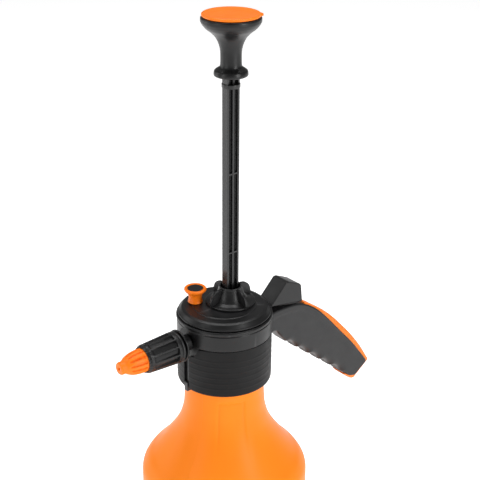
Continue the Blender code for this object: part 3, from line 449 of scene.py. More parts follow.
def lathe(section, steps=96, centre=(0.0, 0.0), closed=False, shape=None, angles=None):
    """Corners and faces of a shape turned about a vertical axis.

    shape may change each corner's radius and height.
    """
    section = np.array(section, float)
    if closed:
        section = np.vstack([section, section[:1]])
    if angles is None:
        angles = np.arange(steps) * 2 * np.pi / steps
    radius = np.repeat(section[:, :1], len(angles), axis=1)
    height = np.repeat(section[:, 1:], len(angles), axis=1)
    turn = np.repeat(np.array(angles)[None], len(section), axis=0)
    if shape is not None:
        radius, height = shape(turn, radius, height)
    corners = np.stack(
        [centre[0] + radius * np.cos(turn), centre[1] + radius * np.sin(turn), height], axis=2
    ).reshape(-1, 3)
    return corners, grid_faces(len(section), len(angles))


def laid(shape):
    """The turned shape laid along -X at the nozzle's height."""
    corners, faces = shape
    return np.stack([-corners[:, 2], corners[:, 1], corners[:, 0] + NOZZLE_Z], axis=1), faces


def pillow(outline, half, edge, steps=4):
    """A plate along Y with rounded edges, from an XZ outline."""
    outline = np.array(outline, float)
    normals = inward(outline)
    levels = []
    for step in range(steps + 1):
        angle = math.pi / 2 * step / steps
        levels.append((half - edge + edge * math.sin(angle), edge * (1 - math.cos(angle))))
    rings = [(-y, inset) for y, inset in reversed(levels)] + levels
    corners = []
    for y, inset in rings:
        moved = outline + normals * inset
        corners.append(np.stack([moved[:, 0], np.full(len(moved), y), moved[:, 1]], axis=1))
    count = len(outline)
    faces = grid_faces(len(rings), count)
    faces.append(tuple(range(count)))
    faces.append(tuple(range((len(rings) - 1) * count, len(rings) * count)))
    return np.vstack(corners), faces


def joined(*shapes):
    corners, faces, count = [], [], 0
    for some, loops in shapes:
        corners.append(some)
        faces += [tuple(i + count for i in loop) for loop in loops]
        count += len(some)
    return np.vstack(corners), faces


def box_shape(low, high, edge=0.0):
    bm = bmesh.new()
    bmesh.ops.create_cube(bm, size=1.0)
    size = [h - l for l, h in zip(low, high)]
    middle = [(h + l) / 2 for l, h in zip(low, high)]
    bm.transform(Matrix.Translation(middle) @ Matrix.Diagonal((*size, 1.0)))
    if edge:
        bmesh.ops.bevel(bm, geom=bm.edges[:], offset=edge, segments=3, affect="EDGES", profile=0.5)
    bm.verts.index_update()
    corners = np.array([v.co[:] for v in bm.verts])
    faces = [tuple(v.index for v in face.verts) for face in bm.faces]
    bm.free()
    return corners, faces


def raw_object(name, shape):
    corners, faces = shape
    mesh = bpy.data.meshes.new(name)
    mesh.from_pydata([tuple(c) for c in corners], [], faces)
    bm = bmesh.new()
    bm.from_mesh(mesh)
    bmesh.ops.remove_doubles(bm, verts=bm.verts, dist=1e-7)
    bmesh.ops.dissolve_degenerate(bm, edges=bm.edges, dist=1e-8)
    bmesh.ops.recalc_face_normals(bm, faces=bm.faces)
    bm.to_mesh(mesh)
    bm.free()
    obj = bpy.data.objects.new(name, mesh)
    bpy.context.scene.collection.objects.link(obj)
    return obj


def finished(name, shape, material, body, nodes, cuts=(), sharp=38.0):
    """A piece that stands for CAD nodes. Each cut is a closed shape taken away from it."""
    obj = raw_object(name, shape)
    for number, cut in enumerate(cuts):
        tool = raw_object(f"{name}_cut_{number}", cut)
        modifier = obj.modifiers.new(tool.name, "BOOLEAN")
        modifier.operation = "DIFFERENCE"
        modifier.solver = "EXACT"
        modifier.object = tool
        bpy.context.view_layer.update()
        graph = bpy.context.evaluated_depsgraph_get()
        mesh = bpy.data.meshes.new_from_object(obj.evaluated_get(graph))
        obj.modifiers.clear()
        obj.data = mesh
        bpy.data.objects.remove(tool, do_unlink=True)
    obj.data.shade_smooth()
    obj.data.set_sharp_from_angle(angle=math.radians(sharp))
    obj.data.materials.clear()
    obj.data.materials.append(material)
    normals = obj.modifiers.new("even_shading", "WEIGHTED_NORMAL")
    normals.keep_sharp = True
    normals.weight = 60
    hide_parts(*nodes)
    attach(obj, body)
    return obj


def rod_shape(radius, low, high, steps, centre=(0.0, 0.0)):
    return lathe(((0.0, low), (radius, low), (radius, high), (0.0, high)), steps, centre)


# --- Bottle -------------------------------------------------------------------------------
def bottle_surface(turn, radius, height):
    """Shallow shoulder panels and the fine seams where the mould's halves met."""
    degrees = np.degrees(turn)
    below = (SKIRT_Z - height) * 1000
    half = 19.0
    shown = eased(below, 8.8, 10.3) * (1 - eased(below, 28.0, 60.0))
    top_edge = np.exp(-(((below - 9.6) / 0.8) ** 2))
    for middle in PANEL_ANGLES:
        off = np.abs((degrees - middle + 180) % 360 - 180)
        border = 85.0 / np.maximum(radius * 1000, 25.0)
        inside = 1 - eased(off, half - border / 2, half + border / 2)
        side = np.exp(-(((off - half) / border * 1.6) ** 2)) * shown
        line = np.maximum(side, top_edge * (off < half))
        radius = radius - (0.00045 * inside * shown + 0.00060 * line) * (radius > 0.03)
    for middle in PARTING_ANGLES:
        off = np.radians((degrees - middle + 180) % 360 - 180) * radius
        radius = radius + 0.00012 * np.exp(-((off / 0.0003) ** 2)) * (radius > 0.0302)
    return radius, height


def make_bottle():
    foot = softened(BOTTLE_FOOT[:8], 1.4, steps=3)
    body = np.linspace(16.0, 106.0, 14)
    side = [(65.1, z) for z in body]
    shoulder = flowing(BOTTLE_SIDE, 0.75)
    neck = ((30.6, 226.0), (28.4, 226.0), (28.4, 180.0), (29.0, 176.0), (0.0, 170.0))
    section = np.vstack([foot, [BOTTLE_FOOT[8]], side, shoulder, neck]) / 1000
    angles = set(np.round(np.arange(0.0, 360.0, 1.2), 4))
    for middle in PARTING_ANGLES:
        angles |= set(np.round((middle + np.linspace(-1.0, 1.0, 17)) % 360, 4))
    angles = np.radians(sorted(angles))
    shape = lathe(section, centre=(0.0, 0.0), shape=bottle_surface, angles=angles)
    finished("bottle_skin", shape, BOTTLE_ORANGE, "bottle", ["bottle"], sharp=60.0)


# --- Head ---------------------------------------------------------------------------------
def make_head():
    section = (
        (0.0310, SKIRT_Z),
        (0.0343, SKIRT_Z),
        (0.0343, SKIRT_Z + 0.0386),
        (HEAD_R, SKIRT_Z + 0.0386),
        (HEAD_R, SKIRT_Z + 0.0502),
        (HEAD_R - 0.0005, SKIRT_Z + 0.0506),
        (HEAD_R - 0.0005, SKIRT_Z + 0.0512),
        (HEAD_R + 0.0004, SKIRT_Z + 0.0515),
        (HEAD_R + 0.0004, SKIRT_Z + 0.0533),
        (HEAD_R - 0.0004, SKIRT_Z + 0.0540),
        (0.0331, SKIRT_Z + 0.0540),
        (0.0331, SKIRT_Z + 0.0316),
        (0.0, SKIRT_Z + 0.0316),
        (0.0, SKIRT_Z + 0.0284),
        (0.0310, SKIRT_Z + 0.0284),
    )
    ring = softened(section, 0.00030, closed=True, steps=3)
    wall = lathe(ring, 160, closed=True)
    cuts = [
        laid(rod_shape(0.0112, 0.0345, 0.0420, 72)),
        box_shape((0.0300, -WINDOW_HALF_W, WINDOW_Z[0]), (0.0400, WINDOW_HALF_W, WINDOW_Z[1])),
        rod_shape(0.0142, SKIRT_Z, SKIRT_Z + 0.05, 64, PUMP),
    ]
    finished("head_wall", wall, BLACK, "head", ["head_body"], cuts)
    low, high = SKIRT_Z + 0.0290, SKIRT_Z + 0.0586
    tower = ((0.0142, low), (0.0162, low), (0.0162, high), (0.0142, high))
    tower = lathe(softened(tower, 0.0003, closed=True, steps=2), 72, PUMP, closed=True)
    tab_low = (-0.0362, -0.0004, SKIRT_Z - 0.0024)
    tab = box_shape(tab_low, (-0.0325, 0.0034, SKIRT_Z + 0.0050), 0.0005)
    tongue = box_shape((0.0340, -0.0045, 0.2262), (0.0610, 0.0045, 0.2380), 0.0004)
    more = joined(tower, tab, tongue)
    finished("head_tower_and_tab", more, BLACK, "head", ["head_body"])


def make_top_cover():
    section = (
        (0.0, 0.0573),
        (0.0310, 0.0573),
        (0.0310, 0.0525),
        (0.0327, 0.0525),
        (0.0327, 0.0543),
        (0.0340, 0.0543),
        (0.0340, 0.0549),
        (0.0351, 0.0550),
        (0.0351, 0.0557),
        (0.0343, 0.0563),
        (0.0322, 0.0588),
        (0.0302, 0.0595),
        (0.0243, 0.0597),
        (0.0238, 0.0601),
        (0.0, 0.0601),
    )
    line = softened(section, 0.0004, steps=4)
    line[:, 1] += SKIRT_Z
    cuts = [
        rod_shape(0.0172, SKIRT_Z + 0.04, SKIRT_Z + 0.08, 72, PUMP),
        rod_shape(0.0020, SKIRT_Z + 0.04, SKIRT_Z + 0.08, 32, RELIEF),
    ]
    shape = lathe(line, 160)
    finished("top_cover", shape, BLACK, "head", ["head_top_cover"], cuts)


def band_surface(turn, radius, height):
    """Low rings round the band, and its upper edge stepping down beside the nozzle."""
    up = (height - SKIRT_Z) * 1000
    outer = radius > 0.0352
    for middle in (6.6, 11.2, 15.8, 20.4, 25.0, 29.6):
        radius = radius + outer * 0.00013 * np.exp(-(((up - middle) / 0.55) ** 2))
    away = np.abs((np.degrees(turn) - 180 + 180) % 360 - 180)
    dip = (1 - eased(away, 3.0, 36.0)) * 0.0016
    height = height - dip * eased(up, 34.0, 38.0)
    return radius, height


def make_band():
    low, high = SKIRT_Z + 0.0003, BAND_HIGH.z
    outer = ((HEAD_R - 0.0004, low), (HEAD_R, low + 0.0012), (HEAD_R, high))
    line = softened(((0.0346, low), *outer, (0.0346, high)), 0.0005, closed=True, steps=3)
    dense = []
    for a, b in zip(line, np.roll(line, -1, axis=0)):
        count = max(1, int(np.linalg.norm(b - a) / 0.00032))
        dense += [a + (b - a) * t for t in np.arange(count) / count]
    dense = [p for p in dense if p[0] > 0.0352 or p[1] in (low, high)]
    dense += [(0.0346, high), (0.0346, low)]
    shape = lathe(dense, 192, closed=True, shape=band_surface)
    cuts = [
        box_shape((-0.0420, -0.0021, SKIRT_Z - 0.01), (-0.0300, 0.0037, SKIRT_Z + 0.0335)),
        laid(rod_shape(0.0114, 0.0300, 0.0420, 72)),
        box_shape((0.0300, -0.0048, 0.2259), (0.0400, 0.0048, 0.2450)),
    ]
    finished("band", shape, SOFT_BLACK, "head", ["grip_band"], cuts)


# --- Grip ---------------------------------------------------------------------------------
def scallop_line():
    start, end = np.array(SCALLOP_FROM), np.array(SCALLOP_TO)
    into = np.array([end[1] - start[1], start[0] - end[0]])
    into /= np.linalg.norm(into)
    points = []
    for along in np.linspace(0.0, 1.0, SCALLOPS * 14 + 1):
        wave = abs(math.sin(math.pi * SCALLOPS * along))
        points.append(start + (end - start) * along + into * SCALLOP_DEPTH * wave**0.9)
    return np.array(points)


def grip_line():
    """The grip's side outline and how far each of its points rounds over towards the side."""
    top = flowing(GRIP_TOP, 0.0007)
    end = softened((GRIP_TOP[-1], *GRIP_END, SCALLOP_FROM), 0.0012, steps=5)[1:-1]
    under = scallop_line()
    root = flowing((SCALLOP_TO, *GRIP_ROOT), 0.0007)[1:]
    whole = np.vstack([top, end, under, root])
    rounds = ((top, 0.0013), (end, 0.0013), (under, 0.0052), (root, 0.0022))
    roll = np.concatenate([np.full(len(line), radius) for line, radius in rounds])
    along = np.concatenate([[0.0], np.cumsum(np.linalg.norm(np.diff(whole, axis=0), axis=1))])
    even = spaced(whole, 0.0007, closed=True)
    at = np.concatenate([[0.0], np.cumsum(np.linalg.norm(np.diff(even, axis=0), axis=1))])
    rolls = np.interp(at, along, roll)
    ring = np.concatenate([rolls[-9:], rolls, rolls[:9]])
    rolls = np.convolve(ring, np.ones(19) / 19, "valid")
    return even, rolls


def grip_side():
    """Corners (x, z), heights and triangles of one side of the grip."""
    outline, rolls = grip_line()
    normals = inward(outline)
    points = [outline]
    for share in (0.02, 0.08, 0.18, 0.33, 0.52, 0.75, 1.0):
        moved = outline + normals * (rolls * share)[:, None]
        apart, _ = gap_to(outline, moved)
        keep = (apart > rolls * share * 0.97) & within(outline, moved)
        points.append(moved[keep])
    low, high = outline.min(axis=0), outline.max(axis=0)
    step = 0.0011
    xs, zs = np.meshgrid(np.arange(low[0], high[0], step), np.arange(low[1], high[1], step))
    inner = np.stack([xs.ravel() + (np.arange(xs.size) % 2) * 0.0002, zs.ravel()], axis=1)
    inner = inner[within(outline, inner)]
    apart, near = gap_to(outline, inner)
    points.append(inner[apart > rolls[near] + 0.0005])
    flat = np.vstack(points)
    count = len(outline)
    corners, _, faces, _, _, _ = delaunay_2d_cdt(
        [Vector(p) for p in flat], [], [list(range(count))], 1, 1e-7
    )
    flat = np.array([tuple(c) for c in corners])
    apart, near = gap_to(outline, flat)
    roll = rolls[near]
    into = np.clip(apart, 0.0, roll)
    heights = GRIP_HALF_W - roll + np.sqrt(np.maximum(roll**2 - (roll - into) ** 2, 0.0))
    top = flowing(GRIP_TOP[1:], 0.0010)
    reach = np.min(np.linalg.norm(flat[:, None] - top[None], axis=2), axis=1)
    fade = 1 - eased(flat[:, 0], 0.115, 0.145)
    heights -= 0.00028 * eased(reach, 0.0050, 0.0058) * fade * eased(apart, 0.001, 0.004)
    return flat, heights, [tuple(f) for f in faces], outline


def make_grip():
    flat, heights, triangles, outline = grip_side()
    apart, near = gap_to(outline, flat)
    rim = {}
    for index in np.nonzero(apart < 1e-6)[0]:
        corner = near[index]
        if np.linalg.norm(flat[index] - outline[corner]) > 1e-5:
            corner = (corner + 1) % len(outline)
        rim[int(corner)] = int(index)
    ring = [rim[i] for i in sorted(rim)]
    for name, side, screws in (("left", 1.0, True), ("right", -1.0, False)):
        face = np.stack([flat[:, 0], side * heights, flat[:, 1]], axis=1)
        base = face[ring].copy()
        base[:, 1] = side * 0.00015
        faces = list(triangles)
        start = len(face)
        for place, corner in enumerate(ring):
            after = (place + 1) % len(ring)
            faces.append((corner, ring[after], start + after, start + place))
        faces.append(tuple(range(start, start + len(ring))))
        cuts = [rod_shape(HEAD_R + 0.0007, 0.14, 0.30, 160)]
        if screws:
            for number in (1, 2, 3):
                low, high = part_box(f"grip_screw_{number}")
                x, z = (low.x + high.x) / 2, (low.z + high.z) / 2
                corners, loops = rod_shape(0.00335, 0.0060, 0.0200, 40)
                corners = np.stack([corners[:, 0] + x, corners[:, 2], z - corners[:, 1]], axis=1)
                cuts.append((corners, loops))
        shape = (np.vstack([face, base]), faces)
        node_name = f"grip_shell_{name}"
        finished(f"grip_{name}", shape, GRIP_BLACK, "head", [node_name], cuts, 50.0)


def make_insert():
    """The coloured strip: a crowned section along the ridge, with fine teeth on its rear half."""
    round_end = softened((GRIP_TOP[-1], *GRIP_END), 0.0008)[1:]
    inner = np.vstack([flowing(GRIP_TOP[4:], 0.0005), round_end])
    last = np.array(GRIP_END[-1]) + (np.array(SCALLOP_FROM) - np.array(GRIP_END[-1])) * 0.75
    inner = np.vstack([inner, [last]])
    inner = spaced(inner, 0.0003)
    ridge = flowing(INSERT_RIDGE, 0.0003)
    ridge = np.vstack([ridge, softened((INSERT_RIDGE[-1], *INSERT_END), 0.0009)[1:]])
    ridge = spaced(ridge, 0.00028)
    ahead = np.gradient(ridge, axis=0)
    out = np.stack([ahead[:, 1], -ahead[:, 0]], axis=1)
    out /= np.linalg.norm(out, axis=1)[:, None]
    out = -out
    along = np.concatenate([[0.0], np.cumsum(np.linalg.norm(np.diff(ridge, axis=0), axis=1))])
    toothed = eased(ridge[:, 0], 0.100, 0.108) * (ridge[:, 1] > 0.1615)
    saw = (along / 0.0021) % 1.0
    ridge = ridge - out * (toothed * 0.00042 * (1 - np.abs(2 * saw - 1)))[:, None]
    foot = []
    place = 0
    for point in ridge:
        window = inner[place : place + 60]
        place += int(np.argmin(np.linalg.norm(window - point, axis=1)))
        foot.append(inner[place])
    across = np.linspace(-1.0, 1.0, 25)
    across = np.sign(across) * (1 - (1 - np.abs(across)) ** 1.6)
    rise = (1 - np.abs(across) ** 2.6) ** (1 / 2.6)
    rows = []
    for low, high in zip(foot, ridge):
        direction = high - low
        length = np.linalg.norm(direction)
        direction = direction / max(length, 1e-9)
        lift = low + direction * 0.0003
        section = [(lift[0], -INSERT_HALF_W, lift[1])]
        for y, up in zip(across, rise):
            spot = low + direction * (0.0003 + max(length - 0.0003, 0.0001) * (0.12 + 0.88 * up))
            section.append((spot[0], y * INSERT_HALF_W, spot[1]))
        section.append((lift[0], INSERT_HALF_W, lift[1]))
        rows.append(section)
    width = len(rows[0])
    corners = np.array(rows).reshape(-1, 3)
    faces = grid_faces(len(rows), width)
    faces.append(tuple(range(width)))
    faces.append(tuple(range((len(rows) - 1) * width, len(rows) * width)))
    shape, nodes = (corners, faces), ["grip_back_insert"]
    finished("back_insert", shape, PART_ORANGE, "head", nodes, sharp=55.0)


def make_screws():
    for number in (1, 2, 3):
        low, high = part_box(f"grip_screw_{number}")
        x, z = (low.x + high.x) / 2, (low.z + high.z) / 2
        shank = ((0.0, -0.0062), (0.0015, -0.0062), (0.0015, 0.0065))
        head = ((0.0030, 0.0065), (0.0030, 0.0080), (0.0020, 0.0087), (0.0, 0.0087))
        corners, faces = lathe(softened(shank + head, 0.0003, steps=3), 40)
        corners = np.stack([corners[:, 0] + x, corners[:, 2], z - corners[:, 1]], axis=1)
        cuts = [
            box_shape((x - 0.0017, 0.0076, z - 0.00035), (x + 0.0017, 0.0100, z + 0.00035)),
            box_shape((x - 0.00035, 0.0076, z - 0.0017), (x + 0.00035, 0.0100, z + 0.0017)),
        ]
        nodes = [f"grip_screw_{number}"]
        finished(f"screw_{number}", (corners, faces), STEEL, "head", nodes, cuts)


def make_lever():
    outline = spaced(softened(LEVER_SIDE, 0.0006, closed=True, steps=4), 0.0003, closed=True)
    body = pillow(outline, LEVER_HALF_W, 0.0007, steps=4)
    half = LEVER_HALF_W - 0.0018
    cuts = [pillow(np.array(LEVER_HOLLOW), half, 0.0, steps=1)]
    corners, faces = rod_shape(0.00175, -0.0079, 0.0079, 32)
    corners = np.stack([corners[:, 0] + PIN[0], corners[:, 2], PIN[1] - corners[:, 1]], axis=1)
    cuts.append((corners, faces))
    finished("thumb_lever", body, BLACK, "trigger", ["trigger_lever"], cuts)


# --- Pump ---------------------------------------------------------------------------------
def make_nut():
    section = (
        (0.0118, 0.2460),
        (0.0139, 0.2460),
        (0.0139, 0.2605),
        (0.0186, 0.2605),
        (0.0186, 0.2619),
        (0.0180, 0.2621),
        (0.0155, 0.2626),
        (0.0128, 0.2638),
        (0.0109, 0.2662),
        (0.0096, 0.2695),
        (0.0090, 0.2718),
        (0.0087, 0.2726),
        (0.0087, 0.2740),
        (0.0074, 0.2740),
        (0.0074, 0.2680),
        (0.0116, 0.2624),
        (0.0118, 0.2620),
    )
    shell = lathe(softened(section, 0.0006, closed=True, steps=3), 128, PUMP, closed=True)
    arc = []
    for step in range(21):
        angle = math.pi / 2 * step / 20
        out, up = math.sin(angle) ** 0.8, abs(math.cos(angle)) ** 0.8
        arc.append((0.0087 + 0.0105 * out, 0.2617 + 0.0115 * up))
    profile = [(0.0080, 0.2732)] + arc + [(0.0150, 0.2616), (0.0080, 0.2660)]
    outline = spaced(softened(profile, 0.0005, closed=True, steps=3), 0.0003, closed=True)
    wings = []
    for quarter in range(4):
        corners, faces = pillow(outline, 0.00105, 0.00030, steps=3)
        angle = quarter * math.pi / 2
        x = PUMP[0] + corners[:, 0] * math.cos(angle) - corners[:, 1] * math.sin(angle)
        y = corners[:, 0] * math.sin(angle) + corners[:, 1] * math.cos(angle)
        wings.append((np.stack([x, y, corners[:, 2]], axis=1), faces))
    finished("winged_nut", joined(shell, *wings), BLACK, "pump_barrel", ["pump_nut"])


def make_rod():
    fin, half_x, half_y = 0.00085, 0.0055, 0.0031
    inner = half_x - 2 * fin
    upper = [(half_x, half_y), (inner, half_y), (inner, fin), (fin, fin), (fin, half_y)]
    upper += [(-x, y) for x, y in reversed(upper)]
    outline = upper + [(-x, -y) for x, y in upper]
    outline = softened(outline, 0.0003, closed=True, steps=3)
    low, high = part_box("pump_rod")
    rings = [low.z + 0.0002, low.z + 0.0030]
    rings += list(np.linspace(low.z + 0.012, high.z - 0.008, 12)) + [high.z - 0.0003]
    corners = np.vstack([[(PUMP[0] + x, y, z) for x, y in outline] for z in rings])
    count = len(outline)
    faces = grid_faces(len(rings), count)
    faces += [tuple(range(count)), tuple(range((len(rings) - 1) * count, len(rings) * count))]
    shapes = [(corners, faces)]
    for z in WEB_HEIGHTS:
        shapes.append(
            box_shape((PUMP[0] - 0.0051, -0.0028, z), (PUMP[0] + 0.0051, 0.0028, z + 0.0014), 0.0003)
        )
    for radius, bottom, top in ((0.0066, 0.4267, 0.4296), (0.0062, 0.2512, 0.2532)):
        section = ((0.0, bottom), (radius, bottom), (radius, top), (0.0, top))
        shapes.append(lathe(softened(section, 0.0004, steps=3), 72, PUMP))
    shape = joined(*shapes)
    finished("finned_rod", shape, ROD_BLACK, "plunger", ["pump_rod"], sharp=50.0)


def make_knob():
    side = (
        (0.0110, 0.0),
        (0.0119, 0.0005),
        (0.0121, 0.0016),
        (0.0116, 0.0038),
        (0.0098, 0.0052),
        (0.0080, 0.0066),
        (0.0075, 0.0090),
        (0.0075, 0.0165),
        (0.0083, 0.0212),
        (0.0098, 0.0250),
        (0.0116, 0.0279),
        (0.0144, 0.0307),
        (0.0176, 0.0332),
        (0.0199, 0.0358),
    )
    outer = flowing(side, 0.0006)
    rim = (
        side[-1],
        (0.0211, 0.0380),
        (0.0211, 0.0404),
        (0.0203, 0.0413),
        (0.0130, 0.0413),
        (0.0130, 0.0340),
        (0.0, 0.0340),
    )
    rim = softened(rim, 0.0007, steps=4)[1:]
    bore = ((0.0, 0.0141), (0.0070, 0.0141), (0.0070, 0.0003), (0.0074, 0.0))
    line = np.vstack([bore, outer, rim])
    line[:, 1] += KNOB_Z
    shape = lathe(line, 128, PUMP)
    finished("round_knob", shape, BLACK, "plunger", ["pump_knob"], sharp=45.0)


def cap_surface(turn, radius, height):
    """A small lobe on the cap's edge."""
    off = np.abs((np.degrees(turn) + 40 + 180) % 360 - 180)
    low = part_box("pump_knob_cap")[0].z
    up = (height - low) * 1000
    reach = eased(up, 5.6, 6.2) * (1 - eased(up, 7.3, 8.1))
    edge = eased(radius, 0.0175, 0.0202)
    return radius + 0.0015 * np.exp(-((off / 7.0) ** 4)) * reach * edge, height


def make_cap():
    section = (
        (0.0, -0.0055),
        (0.0126, -0.0055),
        (0.0126, 0.0003),
        (0.0200, 0.0003),
        (0.0204, 0.0007),
        (0.0204, 0.0012),
        (0.0204, 0.0017),
        (0.0198, 0.0022),
        (0.0189, 0.0023),
        (0.0176, 0.0019),
        (0.0120, 0.0013),
        (0.0, 0.0011),
    )
    line = softened(section, 0.0004, steps=4)
    line[:, 1] += KNOB_Z + 0.0413
    shape = lathe(line, 144, PUMP, shape=cap_surface)
    finished("knob_cap", shape, PART_ORANGE, "plunger", ["pump_knob_cap"], sharp=45.0)


def make_relief():
    section = (
        (0.0019, 0.0),
        (0.0056, 0.0),
        (0.0056, 0.0006),
        (0.0052, 0.0020),
        (0.0050, 0.0044),
        (0.0055, 0.0068),
        (0.0072, 0.0086),
        (0.0084, 0.0100),
        (0.0084, 0.0110),
        (0.0077, 0.0117),
        (0.0066, 0.0116),
        (0.0060, 0.0112),
        (0.0060, 0.0100),
        (0.0, 0.0100),
        (0.0, 0.0075),
        (0.0019, 0.0075),
    )
    line = softened(section, 0.0008, closed=True, steps=4)
    line[:, 1] += RELIEF_Z
    line[:, 0] = np.maximum(line[:, 0], 0.0)
    shape = lathe(line, 96, RELIEF, closed=True)
    nodes = ["relief_knob"]
    finished("relief_button", shape, PART_ORANGE, "relief", nodes, sharp=45.0)
    disc = ((0.0, 0.0103), (0.0057, 0.0103), (0.0057, 0.0113), (0.0040, 0.0113), (0.0, 0.0112))
    disc = softened(disc, 0.0002, steps=3)
    disc[:, 1] += RELIEF_Z
    shape, nodes = lathe(disc, 72, RELIEF), ["relief_insert"]
    finished("relief_disc", shape, BLACK, "relief", nodes)


# --- Nozzle -------------------------------------------------------------------------------
def make_spigot():
    section = (
        (0.0014, 0.0270),
        (0.0027, 0.0270),
        (0.0027, 0.0310),
        (0.0050, 0.0310),
        (0.0050, 0.0351),
        (0.0062, 0.0351),
        (0.0062, 0.0419),
        (0.0070, 0.0425),
        (0.0122, 0.0425),
        (0.0124, 0.0429),
        (0.0124, 0.0435),
        (0.0121, 0.0439),
        (0.0062, 0.0443),
        (0.0060, 0.0445),
        (0.0060, 0.0715),
        (0.0055, 0.0720),
        (0.0031, 0.0720),
        (0.0031, 0.0690),
        (0.0014, 0.0690),
    )
    shape = laid(lathe(softened(section, 0.0003, closed=True, steps=2), 96, closed=True))
    finished("nozzle_neck", shape, BLACK, "head", ["nozzle_spigot"])


SLEEVE_RIBS = 12


def sleeve_surface(turn, radius, height):
    """Raised bars between sunken panels, which are deepest at their rear ends."""
    along = height * 1000
    outer = radius > 0.0099
    wave = (turn * SLEEVE_RIBS / (2 * np.pi)) % 1.0
    off = np.abs(wave - 0.5) * 2
    panel = 1 - eased(off, 0.70, 0.83)
    ends = eased(along, 50.3, 50.9) * (1 - eased(along, 70.6, 72.2))
    deep = 0.0020 - 0.0013 * np.clip((along - 51.0) / 20.0, 0.0, 1.0)
    radius = radius - outer * panel * ends * deep
    flat = eased(along, 69.5, 74.0) * 0.0002
    return radius - outer * flat * np.cos(turn * SLEEVE_RIBS) ** 2, height


def make_sleeve():
    outside = [
        (0.0112, 0.0453),
        (0.0119, 0.0456),
        (0.0120, 0.0461),
        (0.0120, 0.0470),
        (0.0117, 0.0473),
        (0.0114, 0.0475),
        (0.0114, 0.0478),
        (0.0117, 0.0480),
        (0.0120, 0.0483),
    ]
    outside += [(0.0120 - 0.0012 * t, 0.0486 + 0.0254 * t) for t in np.linspace(0.0, 1.0, 86)]
    outside += [(0.0107, 0.0743), (0.0104, 0.0745), (0.0101, 0.0748), (0.0100, 0.0757)]
    inside = [(0.0097, 0.0761), (0.0094, 0.0761), (0.0092, 0.0757), (0.0091, 0.0588)]
    inside += [(0.0064, 0.0588), (0.0064, 0.0453)]
    shape = lathe(np.array(outside + inside), 12 * 24, closed=True, shape=sleeve_surface)
    nodes = ["nozzle_sleeve"]
    finished("ribbed_sleeve", laid(shape), BLACK, "nozzle", nodes, sharp=50.0)


TIP_RIBS = 12


def tip_surface(turn, radius, height):
    """Ribs that run together at the nose, with a small slot in every other groove."""
    along = height * 1000
    outer = radius > 0.0063
    wave = (turn * TIP_RIBS / (2 * np.pi)) % 1.0
    off = np.abs(wave - 0.5) * 2
    groove = 1 - eased(off, 0.30, 0.55)
    ends = eased(along, 76.2, 77.2) * (1 - eased(along, 87.5, 90.5))
    radius = radius - outer * groove * ends * 0.0014
    every = (np.floor(turn * TIP_RIBS / (2 * np.pi)) % 2) == 0
    slot = (1 - eased(off, 0.22, 0.34)) * eased(along, 81.0, 81.4) * (1 - eased(along, 83.6, 84.0))
    return radius - outer * every * slot * 0.0010, height


def make_tip():
    body = (
        (0.0088, 0.0752),
        (0.0088, 0.0775),
        (0.0088, 0.0800),
        (0.0084, 0.0835),
        (0.0077, 0.0866),
        (0.0066, 0.0894),
        (0.0055, 0.0911),
        (0.0050, 0.0917),
    )
    nose = (
        body[-1],
        (0.0048, 0.0922),
        (0.0048, 0.0953),
        (0.0041, 0.0962),
        (0.0016, 0.0962),
        (0.0009, 0.0957),
        (0.0008, 0.0860),
        (0.0050, 0.0840),
        (0.0063, 0.0800),
    )
    groove = ((0.0063, 0.0651), (0.0074, 0.0651), (0.0074, 0.0629), (0.0063, 0.0629))
    rear = (*groove, (0.0063, 0.0594), (0.0088, 0.0594))
    body = flowing(body, 0.00025)
    nose = softened(nose, 0.0006, steps=4)[1:]
    line = np.vstack([body, nose, rear])
    shape = lathe(line, 12 * 20, closed=True, shape=tip_surface)
    nodes = ["nozzle_tip"]
    finished("spray_tip", laid(shape), PART_ORANGE, "nozzle", nodes, sharp=55.0)


# --- CAD pieces that stay -----------------------------------------------------------------
def dress_the_rest():
    slots = {part["node"]: part["material_slot"] for part in frame["record"]["subparts"]}
    for name, obj in frame["nodes"].items():
        material = CARRIED[slots[name]]
        for held in obj.material_slots:
            held.material = material
        if not obj.material_slots:
            obj.data.materials.append(material)


# --- Floor, light and camera --------------------------------------------------------------
def make_floor():
    material = bpy.data.materials.new("pale_floor")
    material.use_nodes = True
    tree = material.node_tree
    shader = tree.nodes["Principled BSDF"]
    shader.inputs["Base Color"].default_value = (0.86, 0.86, 0.86, 1.0)
    shader.inputs["Roughness"].default_value = 0.9
    shader.inputs["Specular IOR Level"].default_value = 0.0
    shader.inputs["Emission Color"].default_value = (1.0, 1.0, 1.0, 1.0)
    shader.inputs["Emission Strength"].default_value = 0.68
    shape = box_shape((-6.0, -6.0, -0.012), (8.0, 8.0, -0.0002))
    floor = raw_object("floor", shape)
    floor.data.materials.append(material)


def area_light(name, place, target, size, power, colour=(1.0, 1.0, 1.0)):
    light = bpy.data.lights.new(name, "AREA")
    light.shape = "RECTANGLE"
    light.size, light.size_y = size
    light.energy = power
    light.color = colour
    obj = bpy.data.objects.new(name, light)
    obj.location = place
    obj.rotation_euler = (Vector(target) - Vector(place)).to_track_quat("-Z", "Y").to_euler()
    bpy.context.scene.collection.objects.link(obj)
    return obj


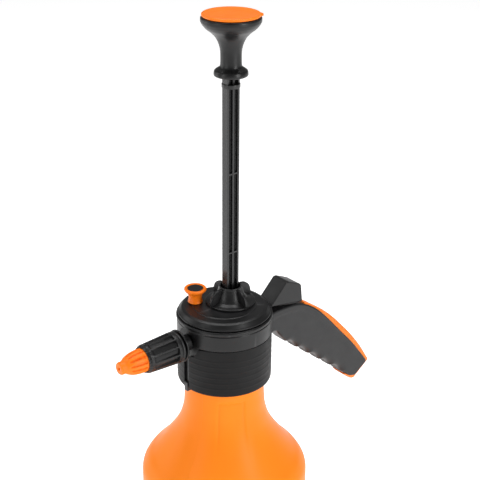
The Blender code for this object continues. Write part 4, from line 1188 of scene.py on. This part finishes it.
CAMERA_TURN = math.radians(40.0)
CAMERA_DOWN = math.radians(24.23)
CAMERA_ROLL = math.radians(0.39)
CAMERA_PLACE = (-0.4775, -0.5867, 0.6528)
SENSOR_WIDTH = 36.0
FOCAL_TO_SENSOR = 2.3673
LOOK = Vector((math.sin(CAMERA_TURN), math.cos(CAMERA_TURN), 0.0))
RIGHT = Vector((math.cos(CAMERA_TURN), -math.sin(CAMERA_TURN), 0.0))


def spot(right, away, up):
    """A place given from the object as the camera sees it: to the right, away, and up."""
    return tuple(RIGHT * right + LOOK * away + Vector((0.0, 0.0, up)))


def make_lights():
    middle = (0.0, 0.0, 0.22)
    area_light("soft_box_right", spot(1.35, -1.15, 0.9), middle, (0.45, 1.5), 20.0)
    area_light("soft_box_left", spot(-1.35, -1.05, 0.9), middle, (0.35, 1.5), 8.0)
    area_light("edge_left", spot(-1.5, 0.4, 0.7), middle, (0.5, 1.4), 5.0)
    area_light("overhead", spot(0.0, 0.3, 1.7), middle, (1.2, 0.8), 15.0)
    world = bpy.data.worlds.new("studio")
    world.use_nodes = True
    world.node_tree.nodes["Background"].inputs["Color"].default_value = (1.0, 1.0, 1.0, 1.0)
    world.node_tree.nodes["Background"].inputs["Strength"].default_value = 0.24
    bpy.context.scene.world = world


def make_camera():
    camera = bpy.data.cameras.new("camera")
    camera.sensor_width = SENSOR_WIDTH
    camera.lens = SENSOR_WIDTH * FOCAL_TO_SENSOR
    camera.clip_end = 50.0
    look = LOOK * math.cos(CAMERA_DOWN) + Vector((0.0, 0.0, -math.sin(CAMERA_DOWN)))
    up = RIGHT.cross(look)
    turn = Matrix((RIGHT, up, -look)).transposed().to_4x4()
    turn = turn @ Matrix.Rotation(CAMERA_ROLL, 4, "Z")
    obj = bpy.data.objects.new("camera", camera)
    obj.matrix_world = Matrix.Translation(CAMERA_PLACE) @ turn
    bpy.context.scene.collection.objects.link(obj)
    bpy.context.scene.camera = obj


for build in (
    make_camera,
    make_bottle,
    make_head,
    make_top_cover,
    make_band,
    make_grip,
    make_insert,
    make_screws,
    make_lever,
    make_nut,
    make_rod,
    make_knob,
    make_cap,
    make_relief,
    make_spigot,
    make_sleeve,
    make_tip,
    dress_the_rest,
    make_floor,
    make_lights,
):
    build()

bpy.context.scene.view_settings.view_transform = "Standard"
bpy.context.scene.view_settings.look = "None"

bpy.context.view_layer.update()
